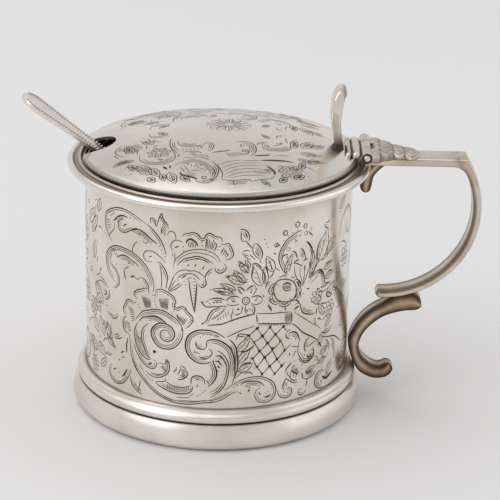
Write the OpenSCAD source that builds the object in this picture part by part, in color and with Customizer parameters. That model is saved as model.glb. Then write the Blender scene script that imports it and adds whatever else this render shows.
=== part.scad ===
// Drum mustard pot in silver: a seamed drum on a moulded foot, a low domed lid
// on a three-knuckle hinge, a scroll handle, a glass liner and a beaded spoon.
// Millimetres, +Z up, +X towards the handle, origin on the pot's axis at the table.

/* [Drum] */
// Outside diameter of the drum
drum_d = 66; // [58:0.5:76]
// Thickness of the drum's sheet
drum_wall = 0.9; // [0.6:0.1:1.4]
// Height of the drum's mouth above the table
mouth_z = 63.3; // [54:0.1:74]

/* [Foot and floor] */
// Height of the foot ring
foot_h = 6.7; // [5:0.1:8]
// How far the foot stands out past the drum
foot_out = 3.3; // [2.4:0.1:4.5]
// How far the foot reaches in under the drum
foot_in = 2.6; // [2:0.1:4]
// Height of the moulded band above the foot
band_h = 3.4; // [2.8:0.1:4.4]
// How far the band's bead stands out past the drum
band_out = 2.3; // [1.9:0.1:2.8]
// Thickness of the floor plate
floor_t = 1.2; // [0.8:0.1:2]

/* [Rim] */
// How far the rim's lip stands out past the drum
rim_out = 4.4; // [3.8:0.1:5.2]
// Diameter of the rim's rounded lip
lip_d = 1.9; // [1.5:0.1:2.3]
// Diameter of the bead inside the lip
bead_d = 1.1; // [0.8:0.1:1.4]
// How far the bead stands above the drum's mouth
bead_up = 0.3; // [0.1:0.05:0.5]

/* [Lid] */
// Gap under the lid's edge
lid_gap = 0.45; // [0.3:0.05:1]
// How far the lid's edge stands out past the drum
lid_over = 0.9; // [0.5:0.1:1.2]
// Thickness of the lid's sheet
lid_t = 0.8; // [0.6:0.1:1.1]
// Radius of the lid's crown
crown_r = 112; // [80:1:160]
// Radius of the lid's turned-down edge
edge_r = 1.6; // [1.3:0.1:2.2]
// Width of the spoon notch
notch_w = 10; // [8:0.5:13]
// How far the notch reaches in from the lid's edge
notch_depth = 8.6; // [7:0.1:11]
// Bearing of the notch, counted from the handle
notch_turn = 184; // [176:1:190]

/* [Hinge] */
// Outside diameter of the hinge barrel
barrel_d = 2.8; // [2.4:0.1:3.4]
// Diameter of the hinge pin
pin_d = 1.5; // [1.2:0.1:1.7]
// Running clearance round the pin
pin_clear = 0.05; // [0.02:0.01:0.1]
// Width of the hinge
hinge_w = 16.2; // [13:0.1:19]
// Gap between neighbouring knuckles
knuckle_gap = 0.3; // [0.2:0.05:0.5]
// Gap between the lid's edge and the barrel
barrel_gap = 0.55; // [0.4:0.05:1]
// Height of the hinge axis above the lid's edge
hinge_up = 1.9; // [1.8:0.05:2.6]

// Radius of the lid flange's main reed
reed_r = 1.1; // [0.9:0.05:1.3]
// Radius of the lid flange's fine reed
fine_r = 0.8; // [0.6:0.05:1]
// How much shorter than the hinge the lid flange is at each end
flange_short = 1.3; // [0.8:0.1:2]

/* [Thumbpiece] */
// Height of the thumbpiece above the hinge axis
thumb_h = 15.7; // [12:0.1:18]
// Width of the thumbpiece
thumb_w = 10.4; // [8:0.1:13]
// Thickness of the thumbpiece
thumb_t = 1.9; // [1.4:0.1:2.4]
// Radius of the thumbpiece's backward curve
thumb_curve = 22.6; // [20:0.1:30]

/* [Handle] */
// Thickness of the handle strap
strap_t = 2; // [1.7:0.1:2.6]
// Width of the strap at the top
strap_w = 7.5; // [6:0.1:9]
// Width of the strap at its lower end
strap_end_w = 5.2; // [4:0.1:6]
// Outside radius of the strap's sweep
strap_r = 23.7; // [22:0.1:26]
// Distance from the drum to the sweep's centre
sweep_out = 8.2; // [7:0.1:9]
// Height of the strap's lowest point above the table
strap_low = 27.5; // [25:0.1:30]
// Radius inside the top corner
corner_r = 4; // [3:0.1:5]
// Thickness of the lower scroll
scroll_t = 2.7; // [2.2:0.1:3.2]
// Outside radius of the lower scroll
scroll_r = 12.6; // [11.5:0.1:13.4]
// Outside radius of the curl at the lower scroll's tip
curl_r = 4.6; // [4:0.1:5.2]
// Width of the lower scroll
scroll_w = 4.8; // [4:0.1:5.6]
// Inside radius of the spur under the handle's root
spur_r = 6.5; // [5.5:0.1:7.5]
// Length of the cast leaf on top of the handle
leaf_len = 12; // [10:0.1:14]

/* [Liner] */
// Clearance between the liner and the drum
liner_gap = 0.4; // [0.3:0.05:0.8]
// Thickness of the liner's wall
liner_t = 2; // [1.5:0.1:3]
// Thickness of the liner's floor
liner_floor = 3; // [2:0.1:5]
// How far the liner's rim lies below the drum's mouth
liner_drop = 0.4; // [0.2:0.1:1]

/* [Spoon] */
// Bearing of the spoon, counted from the handle
spoon_turn = 181; // [178:0.5:186]
// Slope of the spoon's stem
stem_slope = 36.8; // [34:0.1:40]
// Length of the stem outside the liner's rim
stem_out = 22.6; // [18:0.1:28]
// Length of the straight stem inside the liner's rim
stem_in = 25; // [22:0.5:28]
// Height of the stem over the liner's rim
stem_rise = 0.7; // [0.4:0.05:1.5]
// Height of the bowl's lowest point over the liner's floor
bowl_rise = 0.8; // [0.3:0.05:2]
// Thickness of the stem
stem_t = 1.6; // [1.2:0.1:1.9]
// Width of the stem where it passes the rim
stem_w = 3.4; // [2.8:0.1:4]
// Width of the stem's rounded end
finial_w = 8.4; // [7:0.1:9]
// Radius of the bowl's rim
bowl_r = 8.5; // [7:0.1:10]

/* [Hidden] */
$fn = 96;

silver = "#d8d2c8";
silver_shade = "#c4bcb0";
cobalt = "#1d3a8c";

// Solder line between pieces that are cut to a curved neighbour
solder = 0.02;
// Free gap between pieces that move past each other
free_gap = 0.3;
// Overshoot of a cutting shape past the faces that it cuts
past = 1;
// A length well past the whole pot
far_off = 200;

drum_r = drum_d / 2;
drum_in = drum_r - drum_wall;
band_top = foot_h + band_h;
floor_top = foot_h + floor_t;
rim_r = drum_r + rim_out;
lip_r = lip_d / 2;
bead_r = bead_d / 2;
bead_top = mouth_z + bead_up;
lip_z = bead_top - lip_d * 0.66;
bead_in = 0.6;

lid_z = bead_top + lid_gap;
lid_r = drum_r + lid_over;
crown_z = lid_z - sqrt(pow(crown_r - edge_r, 2) - pow(lid_r - edge_r, 2));
crown_tilt = asin((lid_r - edge_r) / (crown_r - edge_r));

barrel_r = barrel_d / 2;
pin_r = pin_d / 2;
bore_r = pin_r + pin_clear;
hinge_x = lid_r + barrel_gap + barrel_r;
hinge_z = lid_z + hinge_up;
knuckle_len = (hinge_w - 2 * knuckle_gap) / 3;
pin_proud = 0.2;

strap_bottom = bead_top - 0.9;
strap_top = strap_bottom + strap_t;
sweep_x = drum_r + sweep_out;
sweep_z = strap_low + strap_r;
corner_x = sweep_x + sqrt(pow(strap_r, 2) - pow(strap_top - sweep_z, 2));
corner_turn = atan2(strap_top - sweep_z, corner_x - sweep_x);
strap_in = strap_r - strap_t;
strap_end_turn = -94;
function sweep_point(turn) = [sweep_x, sweep_z] + (strap_r - strap_t / 2) * [cos(turn), sin(turn)];

scroll_sink = 0.5;
// Depth by which the scroll's belly is filed flat against the drum
scroll_seat = 0.3;
scroll_x = drum_r + scroll_r - scroll_seat;
scroll_z = strap_low + scroll_sink - scroll_r;
scroll_end_turn = 217;
curl_x = scroll_x + (scroll_r - curl_r) * cos(scroll_end_turn);
curl_z = scroll_z + (scroll_r - curl_r) * sin(scroll_end_turn);
curl_end_turn = 370;

liner_r = drum_in - liner_gap;
liner_in = liner_r - liner_t;
liner_z = floor_top + 0.2;
liner_bed = liner_z + liner_floor;
liner_top = mouth_z - liner_drop;

// Points of the spoon, as distance from the axis and height
function heading(slope) = [cos(slope), sin(slope)];
stem_half = stem_t / 2;
bend_slope = 60;
bend_r = 30;
bowl_slope = 50;
bowl_ball = bowl_r * 1.18;
bowl_t = 0.9;
// Length by which the spoon's forged lengths run into each other
stem_lap = 0.6;
neck_lap = 2.2;
bowl_sink = sqrt(pow(bowl_ball, 2) - pow(bowl_r, 2));
stem_seat = [liner_in, liner_top + stem_rise + stem_half / cos(stem_slope)];
bend_start = stem_seat - stem_in * heading(stem_slope);
bend_centre = bend_start + bend_r * [sin(stem_slope), -cos(stem_slope)];
bend_end = bend_centre + bend_r * [-sin(bend_slope), cos(bend_slope)];
bowl_z = liner_bed + bowl_rise + bowl_ball - bowl_sink * cos(bowl_slope);
neck_z = bowl_z + bowl_r * sin(bowl_slope);
neck_len = (bend_end.y - neck_z) / sin(bend_slope);
neck_end = bend_end - neck_len * heading(bend_slope);
bowl_centre = neck_end - bowl_r * heading(bowl_slope);

// Slice of a full turn, as a fan of points about the origin
module slice(reach, from, to) {
  steps = 12;
  fan = [for (i = [0:steps]) let (a = from + (to - from) * i / steps) 1.5 * reach * [cos(a), sin(a)]];
  polygon(concat([[0, 0]], fan));
}

// Part of a flat ring between two bearings
module arc_band(inner, outer, from, to) {
  intersection() {
    difference() {
      circle(r = outer);
      circle(r = inner);
    }
    slice(outer, from, to);
  }
}

// A flat outline in X and Z, given an even width along Y
module across(width) {
  rotate([90, 0, 0]) linear_extrude(height = width, center = true) children();
}

// A straight rod along Y, centred
module rod_y(radius, width) {
  rotate([90, 0, 0]) cylinder(r = radius, h = width, center = true);
}

// Half outline of the lid, solid down to its edge, thinned by inset
module lid_outline(inset) {
  break_r = (crown_r - inset) * sin(crown_tilt);
  intersection() {
    union() {
      intersection() {
        translate([0, crown_z]) circle(r = crown_r - inset, $fn = 240);
        square([break_r, far_off]);
      }
      intersection() {
        translate([lid_r - edge_r, lid_z]) circle(r = edge_r - inset);
        translate([break_r, 0]) square([far_off, far_off]);
      }
    }
    translate([0, lid_z]) square([far_off, far_off]);
  }
}

// The space that the lid fills, up to its outer face
module lid_space() {
  rotate_extrude() lid_outline(-solder);
}

// Round block that the rim fills, which the handle's root is fitted to
module rim_space() {
  cylinder(r = rim_r + solder, h = bead_top + solder);
}

// Seamed sheet cylinder, the engraved wall of the pot
module body_drum() {
  color(silver) difference() {
    translate([0, 0, foot_h]) cylinder(r = drum_r, h = mouth_z - foot_h);
    translate([0, 0, foot_h - past]) cylinder(r = drum_in, h = mouth_z - foot_h + 2 * past);
  }
}

// Drawn moulding round the mouth: a rounded lip, a hollow and a fine bead
module rim_moulding() {
  lip_x = rim_r - lip_r;
  bead_x = drum_r + bead_in + bead_r;
  color(silver) rotate_extrude() {
    translate([lip_x, lip_z]) circle(r = lip_r);
    translate([bead_x, bead_top - bead_r]) circle(r = bead_r);
    polygon([[drum_r, lip_z - lip_d], [drum_r + rim_out * 0.35, lip_z - lip_d * 0.7], [lip_x, lip_z - lip_r],
             [lip_x, lip_z + lip_r * 0.2], [bead_x, bead_top - bead_r], [drum_r, mouth_z]]);
  }
}

// Moulded band above the foot: a bead below, a cove and a fillet above
module base_moulding() {
  bead = band_h * 0.34;
  fillet_out = 0.45;
  cove = band_h * 0.4;
  color(silver) rotate_extrude() {
    translate([drum_r + band_out - bead, foot_h + bead]) circle(r = bead);
    difference() {
      translate([drum_r, foot_h]) square([band_out - bead * 0.5, band_h]);
      translate([drum_r + fillet_out + cove, band_top - cove * 0.25]) circle(r = cove);
    }
  }
}

// Foot ring: a full round moulding, flat underneath
module foot_ring() {
  foot_r = drum_r + foot_out;
  toe = foot_h * 0.36;
  swell = foot_h * 1.05;
  color(silver) rotate_extrude() {
    translate([drum_r - foot_in, 0]) square([foot_in + foot_out - toe, foot_h]);
    translate([foot_r - toe, toe]) circle(r = toe);
    intersection() {
      translate([foot_r - swell, toe]) circle(r = swell);
      translate([drum_r - foot_in, toe]) square([far_off, foot_h - toe]);
    }
  }
}

// Flat floor plate soldered inside the drum, on the foot ring's ledge
module base_plate() {
  color(silver_shade) translate([0, 0, foot_h]) cylinder(r = drum_in, h = floor_t);
}

// Straight-sided glass liner with a rounded rim and a rounded heel
module glass_liner() {
  rim_round = liner_t / 2;
  heel = 2.5;
  bed_round = 1;
  color(cobalt, 0.6) rotate_extrude() difference() {
    union() {
      translate([0, liner_z]) square([liner_r - heel, liner_top - liner_z - rim_round]);
      translate([0, liner_z + heel]) square([liner_r, liner_top - liner_z - heel - rim_round]);
      translate([liner_r - heel, liner_z + heel]) circle(r = heel);
      translate([liner_r - rim_round, liner_top - rim_round]) circle(r = rim_round);
    }
    translate([-far_off, 0]) square([far_off, far_off]);
    translate([0, liner_bed + bed_round]) square([liner_in, far_off]);
    translate([0, liner_bed]) square([liner_in - bed_round, far_off]);
    translate([liner_in - bed_round, liner_bed + bed_round]) circle(r = bed_round);
  }
}

// Low domed lid with a turned-down edge and an open notch for the spoon
module lid_dome() {
  notch_end = lid_r - notch_depth + notch_w / 2;
  color(silver) difference() {
    rotate_extrude($fn = 180) difference() {
      lid_outline(0);
      lid_outline(lid_t);
    }
    rotate([0, 0, notch_turn]) linear_extrude(height = far_off) {
      translate([notch_end, 0]) circle(d = notch_w);
      translate([notch_end, -notch_w / 2]) square([notch_depth, notch_w]);
    }
  }
}

// Cast flange soldered on the lid: two reeds along the hinge and a tongue to the middle knuckle
module lid_hinge_flange() {
  reed_x = hinge_x - barrel_r - reed_r - reed_r * 0.05;
  reed_z = hinge_z + reed_r * 0.1;
  fine_x = reed_x - reed_r - fine_r * 0.8;
  fine_z = hinge_z + fine_r * 0.25;
  wide = hinge_w - 2 * flange_short;
  low = hinge_z - reed_r * 0.8;
  color(silver) difference() {
    union() {
      across(wide) {
        translate([reed_x, reed_z]) circle(r = reed_r);
        translate([fine_x, fine_z]) circle(r = fine_r);
        translate([fine_x - fine_r / 2, low]) square([reed_x - fine_x + fine_r / 2 + reed_r / 2, hinge_z - low]);
      }
      across(knuckle_len - 2 * free_gap)
        translate([reed_x, hinge_z - barrel_r * 0.6]) square([hinge_x - reed_x, barrel_r * 1.2]);
    }
    lid_space();
    translate([hinge_x, 0, hinge_z]) rod_y(barrel_r + solder, hinge_w);
  }
}

// One tube of the hinge barrel, centred at a place along the pin
module knuckle(place) {
  color(silver_shade) translate([hinge_x, place, hinge_z]) difference() {
    rod_y(barrel_r, knuckle_len);
    rod_y(bore_r, knuckle_len + past);
  }
}

// Middle knuckle, which turns with the lid
module lid_knuckle() {
  knuckle(0);
}

// Outer knuckle on the front side, fixed to the handle's leaf
module handle_knuckle_near() {
  knuckle(-knuckle_len - knuckle_gap);
}

// Outer knuckle on the back side, fixed to the handle's leaf
module handle_knuckle_far() {
  knuckle(knuckle_len + knuckle_gap);
}

// Hinge pin, filed nearly flush at both ends
module hinge_pin() {
  color(silver_shade) translate([hinge_x, 0, hinge_z]) rod_y(pin_r, hinge_w + 2 * pin_proud);
}

// Cast thumbpiece: a shield-shaped plate, curved back and rolled over at the top
module thumbpiece() {
  face_x = hinge_x - 6.35;
  middle_z = hinge_z + thumb_h * 0.45;
  top_z = hinge_z + thumb_h;
  roll_r = thumb_t * 0.68;
  shoulder_z = top_z - thumb_w / 2;
  foot_half = thumb_w * 0.32;
  color(silver) difference() {
    intersection() {
      across(thumb_w) {
        intersection() {
          translate([face_x + thumb_curve, middle_z]) arc_band(thumb_curve, thumb_curve + thumb_t, 140, 220);
          translate([0, lid_z]) square([far_off, top_z - roll_r - lid_z]);
        }
        translate([face_x + thumb_curve - sqrt(pow(thumb_curve + thumb_t / 2, 2) - pow(top_z - roll_r - middle_z, 2)),
                   top_z - roll_r]) circle(r = roll_r);
      }
      rotate([90, 0, 90]) linear_extrude(height = far_off) {
        translate([0, shoulder_z]) circle(d = thumb_w);
        polygon([[-foot_half, lid_z], [foot_half, lid_z], [thumb_w / 2, shoulder_z], [-thumb_w / 2, shoulder_z]]);
      }
    }
    lid_space();
  }
}

// Cast leaf on the handle's top: full width at the hinge, scalloped, fading into the strap
module handle_leaf() {
  root_x = hinge_x + barrel_r * 0.3;
  tip_x = hinge_x + leaf_len + barrel_r;
  root_top = hinge_z + barrel_r * 0.6;
  tip_top = strap_top + 0.5;
  lobes = [[0.32, 0.36], [0.55, 0.29], [0.8, 0.3]];
  color(silver) difference() {
    intersection() {
      across(hinge_w) polygon([[root_x, strap_top], [root_x, root_top], [root_x + leaf_len * 0.3, root_top],
                               [tip_x, tip_top], [tip_x, strap_top]]);
      linear_extrude(height = far_off) {
        translate([root_x, -hinge_w / 2]) square([leaf_len * 0.16, hinge_w]);
        for (lobe = lobes)
          translate([root_x + leaf_len * lobe[0], 0]) intersection() {
            circle(r = hinge_w * lobe[1]);
            square([leaf_len * 0.5, hinge_w], center = true);
          }
      }
    }
    translate([hinge_x, 0, hinge_z]) rod_y(barrel_r + solder, hinge_w + past);
    translate([hinge_x, 0, hinge_z]) rod_y(barrel_r + free_gap, knuckle_len + 2 * knuckle_gap);
  }
}

// Handle strap: a flat bar over the rim that turns a sharp corner into one long sweep
module handle_strap() {
  corner_in_x = sweep_x + sqrt(pow(strap_in - corner_r, 2) - pow(strap_bottom - corner_r - sweep_z, 2));
  corner_in = [corner_in_x, strap_bottom - corner_r];
  touch_turn = atan2(corner_in.y - sweep_z, corner_in.x - sweep_x);
  root_x = hinge_x - 1;
  color(silver) difference() {
    intersection() {
      union() {
        across(strap_w) translate([root_x, strap_bottom]) square([corner_x - root_x, strap_t]);
        across(strap_w) translate([sweep_x, sweep_z]) arc_band(strap_in, strap_r, strap_end_turn, corner_turn);
        across(strap_w) difference() {
          polygon([corner_in, [corner_in.x, strap_bottom + strap_t / 2], sweep_point(corner_turn),
                   sweep_point(touch_turn)]);
          translate(corner_in) circle(r = corner_r);
        }
      }
      rotate([90, 0, 90]) linear_extrude(height = far_off)
        polygon([[-strap_end_w / 2, strap_low], [strap_end_w / 2, strap_low],
                 [strap_w / 2, strap_top], [-strap_w / 2, strap_top]]);
    }
    rim_space();
    translate([hinge_x, 0, hinge_z]) rod_y(barrel_r + free_gap, strap_w + past);
  }
}

// Short spur that branches down from the handle's root, close outside the rim
module handle_spur() {
  centre = [rim_r + spur_r + 0.3, strap_bottom - spur_r * 0.83];
  color(silver) difference() {
    across(strap_end_w * 0.92) intersection() {
      translate(centre) arc_band(spur_r, spur_r + strap_t * 1.1, 110, 196);
      square([far_off, strap_bottom]);
    }
    translate([0, 0, lip_z - lip_d]) cylinder(r = rim_r + solder, h = far_off);
  }
}

// Points on a circle from one bearing to another
function arc_points(centre, radius, from, to, steps) =
  [for (i = [0:steps]) let (a = from + (to - from) * i / steps) centre + radius * [cos(a), sin(a)]];

// Points along one side of the lower scroll, from its top to the curl's tip
function scroll_side(depth) = concat(
  arc_points([scroll_x, scroll_z], scroll_r - depth, 90, scroll_end_turn, 26),
  arc_points([curl_x, curl_z], curl_r - depth, scroll_end_turn + 5, curl_end_turn, 24));

// Lower scroll: soldered under the strap's end, bellied against the drum, curled at its tip
module handle_lower_scroll() {
  end_x = scroll_x + scroll_r * 0.5;
  end_top = scroll_z + scroll_r - 0.2;
  inner = scroll_side(scroll_t);
  last = len(inner) - 1;
  color(silver) difference() {
    across(scroll_w) polygon(concat([[end_x, end_top]], scroll_side(0), [for (i = [0:last]) inner[last - i]],
                                    [[end_x, end_top - scroll_t]]));
    translate([sweep_x, 0, sweep_z]) rod_y(strap_r + solder, scroll_w + past);
    cylinder(r = drum_r + solder, h = far_off);
    cylinder(r = drum_r + foot_out + free_gap, h = foot_h);
    translate([0, 0, foot_h - past]) cylinder(r = drum_r + band_out + solder, h = band_h + past);
  }
}

// Straight stem of the spoon, widening to a rounded end, in its own plane
module stem_outline() {
  taper_x = stem_out * 0.2;
  round_x = stem_out - finial_w / 2;
  polygon([[-stem_in - stem_lap, -stem_w * 0.44], [0, -stem_w / 2], [taper_x, -stem_w * 0.55], [round_x, -finial_w / 2],
           [round_x, finial_w / 2], [taper_x, stem_w * 0.55], [0, stem_w / 2], [-stem_in - stem_lap, stem_w * 0.44]]);
  translate([round_x, 0]) circle(d = finial_w);
}

// Forged spoon: straight stem through the notch, bent down to a round bowl
module mustard_spoon() {
  lower_w = stem_w * 0.88;
  color(silver) rotate([0, 0, spoon_turn]) {
    translate([stem_seat.x, 0, stem_seat.y]) rotate([0, -stem_slope, 0])
      translate([0, 0, -stem_half]) linear_extrude(height = stem_t) stem_outline();
    across(lower_w) {
      translate(bend_centre)
        arc_band(bend_r - stem_half, bend_r + stem_half, 90 + stem_slope, 90 + bend_slope);
      translate(neck_end) rotate(bend_slope)
        translate([-neck_lap, -stem_half]) square([neck_len + neck_lap + stem_lap, stem_t]);
    }
    translate([bowl_centre.x, 0, bowl_centre.y]) rotate([0, -bowl_slope, 0]) intersection() {
      translate([0, 0, bowl_sink]) difference() {
        sphere(r = bowl_ball);
        sphere(r = bowl_ball - bowl_t);
      }
      translate([0, 0, -bowl_ball]) cylinder(r = bowl_ball, h = bowl_ball);
    }
  }
}

body_drum();
rim_moulding();
base_moulding();
foot_ring();
base_plate();
glass_liner();
lid_dome();
lid_hinge_flange();
lid_knuckle();
thumbpiece();
hinge_pin();
handle_knuckle_near();
handle_knuckle_far();
handle_leaf();
handle_strap();
handle_spur();
handle_lower_scroll();
mustard_spoon();
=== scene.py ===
import bmesh
import bpy
import numpy as np
from mathutils import Matrix
from mathutils.geometry import delaunay_2d_cdt


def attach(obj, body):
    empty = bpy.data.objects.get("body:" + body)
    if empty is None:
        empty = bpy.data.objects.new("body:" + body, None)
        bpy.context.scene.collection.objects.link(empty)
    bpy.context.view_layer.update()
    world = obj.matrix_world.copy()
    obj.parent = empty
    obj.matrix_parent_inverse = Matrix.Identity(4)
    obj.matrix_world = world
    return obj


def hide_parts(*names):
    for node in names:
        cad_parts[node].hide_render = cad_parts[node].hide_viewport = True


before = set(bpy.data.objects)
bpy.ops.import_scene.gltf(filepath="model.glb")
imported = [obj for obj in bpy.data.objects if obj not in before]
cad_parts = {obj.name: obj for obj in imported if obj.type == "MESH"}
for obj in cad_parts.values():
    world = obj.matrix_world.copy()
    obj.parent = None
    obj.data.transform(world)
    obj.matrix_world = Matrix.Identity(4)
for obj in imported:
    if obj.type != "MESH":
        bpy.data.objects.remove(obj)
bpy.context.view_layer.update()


# ---------------------------------------------------------------- foot ring
# The heavy ring that the pot stands on: cast silver, turned to a swelling with a rounded toe,
# polished, and soldered under the drum.
def linear(code):
    """An sRGB hex colour as linear RGBA: c / 12.92 when dark, ((c + 0.055) / 1.055) ** 2.4 otherwise."""
    c = np.array([int(code[i:i + 2], 16) for i in (1, 3, 5)]) / 255
    return (*np.where(c <= 0.04045, c / 12.92, ((c + 0.055) / 1.055) ** 2.4), 1.0)


def add_node(tree, kind, settings=(), sockets=()):
    """One shader node: its settings by name, and for each socket a value or the output that feeds it."""
    made = tree.nodes.new(kind)
    for key, value in dict(settings).items():
        setattr(made, key, value)
    for key, value in dict(sockets).items():
        if isinstance(value, bpy.types.NodeSocket):
            tree.links.new(value, made.inputs[key])
        else:
            made.inputs[key].default_value = value
    return made


def blank(name):
    """A new material with an empty node tree."""
    made = bpy.data.materials.new(name)
    made.use_nodes = True
    made.node_tree.nodes.clear()
    return made


def silver(name, bright, dull, stain, rough, cloud_mm, wear_mm=1.6, wear_deep=0.003):
    """Old sterling silver: clouds of thin tarnish between two tones, handling wear that changes the gloss and the
    normal, and a dark stain colour mixed in by a value at each point of the piece, which is tarnish and dirt in some
    places and painted shade in others. Real wear is scratches a few hundredths of a millimetre wide; here it is grains
    of wear_mm, as coarse as they need to be to show."""
    made = blank(name)
    tree = made.node_tree
    place = add_node(tree, "ShaderNodeTexCoord").outputs["Object"]
    cloud = add_node(tree, "ShaderNodeTexNoise", (), {"Vector": place, "Scale": 1000 / cloud_mm, "Detail": 4.0})
    wear = add_node(tree, "ShaderNodeTexNoise", (), {"Vector": place, "Scale": 1000 / wear_mm, "Detail": 6.0})
    depth = add_node(tree, "ShaderNodeMapRange", (), {0: cloud.outputs[0], 1: 0.35, 2: 0.65})
    tone = add_node(tree, "ShaderNodeMix", {"data_type": "RGBA"},
                    {0: depth.outputs[0], 6: linear(bright), 7: linear(dull)})
    stain_and_shade = add_node(tree, "ShaderNodeAttribute", {"attribute_name": "stain_and_shade"})
    colour = add_node(tree, "ShaderNodeMix", {"data_type": "RGBA"},
                      {0: stain_and_shade.outputs["Fac"], 6: tone.outputs[2], 7: linear(stain)})
    gloss = add_node(tree, "ShaderNodeMapRange", (),
                     {0: wear.outputs[0], 1: 0.3, 2: 0.7, 3: rough, 4: rough + 0.1})
    dulled = add_node(tree, "ShaderNodeMath", {"operation": "MULTIPLY_ADD"},
                      {0: stain_and_shade.outputs["Fac"], 1: 0.35, 2: gloss.outputs[0]})
    bump = add_node(tree, "ShaderNodeBump", (),
                    {"Strength": 0.5, "Distance": wear_deep / 1000, "Height": wear.outputs[0]})
    shader = add_node(tree, "ShaderNodeBsdfPrincipled", (),
                      {"Base Color": colour.outputs[2], "Metallic": 1.0, "Roughness": dulled.outputs[0],
                       "Normal": bump.outputs[0]})
    add_node(tree, "ShaderNodeOutputMaterial", (), {"Surface": shader.outputs[0]})
    return made


def arc(x, z, radius, start, end, count):
    """Points of a circle's arc: centre plus radius times the cosine and sine of evenly spaced degrees."""
    turn = np.radians(np.linspace(start, end, count))
    return np.stack([x + radius * np.cos(turn), z + radius * np.sin(turn)], -1)


def weave(rows, cols, ring_rows, ring_cols):
    """Four-sided faces of a grid of points; a ring joins its last row or column to its first."""
    at = np.arange(rows * cols).reshape(rows, cols)
    at = np.vstack([at, at[:1]]) if ring_rows else at
    at = np.hstack([at, at[:, :1]]) if ring_cols else at
    return np.stack([at[:-1, :-1], at[1:, :-1], at[1:, 1:], at[:-1, 1:]], -1).reshape(-1, 4).tolist()


def lathe(outline, steps=288):
    """A closed outline of radius and height turned about the pot's axis: x = r cos a, y = r sin a."""
    r, z = np.asarray(outline, float).T
    a = np.linspace(0, 2 * np.pi, steps, endpoint=False)[:, None]
    points = np.stack([r * np.cos(a), r * np.sin(a), z + 0 * a], -1)
    return points.reshape(-1, 3), weave(steps, len(r), True, True)


def start_mesh(name, points, faces, stain_and_shade):
    """A mesh from points in millimetres; a value of 0 to 1 at each point is kept with it for the stain colour, which
    paints tarnish and dirt, and in places shade.
    """
    mesh = bpy.data.meshes.new(name)
    mesh.from_pydata((np.asarray(points) / 1000).tolist(), [], faces)
    if stain_and_shade is not None:
        mesh.attributes.new("stain_and_shade", "FLOAT", "POINT").data.foreach_set("value", np.asarray(stain_and_shade, float))
    return mesh


def set_in(name, mesh, body, slot):
    """Makes a mesh a piece that takes the place of the CAD node of its name and moves with that node's body."""
    piece = bpy.data.objects.new(name + ("_glass" if slot == "cobalt_glass" else "_silver"), mesh)
    bpy.context.scene.collection.objects.link(piece)
    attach(piece, body)
    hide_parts(name)


def put(name, points, faces, finish, body, slot, stain_and_shade=None, crease=38):
    """Makes a piece: doubles merged, faces turned outwards, smooth up to the crease angle in degrees."""
    mesh = start_mesh(name, points, faces, stain_and_shade)
    work = bmesh.new()
    work.from_mesh(mesh)
    bmesh.ops.remove_doubles(work, verts=work.verts, dist=1e-6)
    bmesh.ops.recalc_face_normals(work, faces=work.faces)
    work.to_mesh(mesh)
    work.free()
    mesh.shade_smooth()
    mesh.set_sharp_from_angle(angle=np.radians(crease))
    mesh.materials.append(finish)
    set_in(name, mesh, body, slot)


# To the eye: a soft mirror, faintly clouded, with brown only where polish collects.
turned_silver = silver("sterling_silver_turned_and_polished", "#f1ebe6", "#dfd6cd", "#4d3d2e", rough=0.27, cloud_mm=16)
foot_in, foot_top, toe_r, swell_r = 30.4, 6.7, 2.41, 7.035
foot_outline = np.vstack([[(foot_in, 0.3), (30.7, 0)], arc(33.89, toe_r, toe_r, -90, 0, 14),
                          arc(29.265, toe_r, swell_r, 2, 37.4, 12), [(34.4, foot_top), (foot_in, foot_top)]])
solder_line = 0.8 * (foot_outline[:, 1] > 6.4)
points, faces = lathe(foot_outline)
put("foot_ring", points, faces, turned_silver, "pot", "silver", np.resize(solder_line, len(points)))

# ---------------------------------------------------------------- base moulding
# A drawn and bent wire of silver round the drum's foot: a bead that runs into a small cove,
# soldered to the drum above the foot ring.
band_in, band_low, band_high, bead_r, cove_r = 32.9, 6.72, 10.14, 1.26, 1.22
band_outline = np.vstack([[(band_in, band_low)], arc(33.98, 7.98, bead_r, -90, 58, 18),
                          arc(35.3, 10.08, cove_r, 233, 186, 8)[1:], [(33.7, band_high), (band_in, band_high)]])
band_stain = np.zeros(len(band_outline))
band_stain[[1, 2]], band_stain[-2:] = 0.8, (0.1, 0.9)  # under the bead, and along the cove's upper edge
points, faces = lathe(band_outline)
put("base_moulding", points, faces, turned_silver, "pot", "silver", np.resize(band_stain, len(points)))

# ---------------------------------------------------------------- base plate
# The drum's floor: a disc of sheet silver, hammered flat and soldered in just above the foot.
# The glass liner stands on it, so it shows only from below.
# To the eye: a dull mirror whose broad, shallow hammer marks bend what it reflects.
sheet_silver = silver("sterling_silver_hammered_sheet", "#e6ded3", "#cfc3b4", "#8d7458", rough=0.24, cloud_mm=22,
                      wear_mm=5, wear_deep=0.05)
plate_low, plate_high, plate_r, plate_edge = 6.7, 7.9, 32.1, 31.9
points, faces = lathe([(0, plate_low), (15, plate_low), (plate_edge, plate_low), (plate_r, 6.9), (plate_r, 7.7),
                       (plate_edge, plate_high), (15, plate_high), (0, plate_high)], 180)
put("base_plate", points, faces, sheet_silver, "pot", "silver")


# ---------------------------------------------------------------- drum
# The body: a sheet of silver rolled to a cylinder with its seam behind the handle, then engraved by hand with
# shells, leaf scrolls, flowers and a trellis. The cuts are V-shaped and hold dark tarnish.
drum_r, drum_in, drum_low, drum_high = 33.0, 32.1, 6.7, 63.3
fine, main = 0.27, 0.34  # widths of a light cut and of a usual one


def cut(width, *numbers):
    """One engraved line: its width at the middle, and the points that it runs through."""
    return width, np.reshape(numbers, (-1, 2)).astype(float)


def hatch(count, a, b, c, d):
    """Fine straight lines of shading, from evenly spaced points of side a-b to those of side c-d."""
    t = np.linspace(0, 1, count)[:, None]
    start, end = (1 - t) * a + t * np.array(b), (1 - t) * c + t * np.array(d)
    return [(fine, line) for line in np.stack([start, end], 1)]


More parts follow.
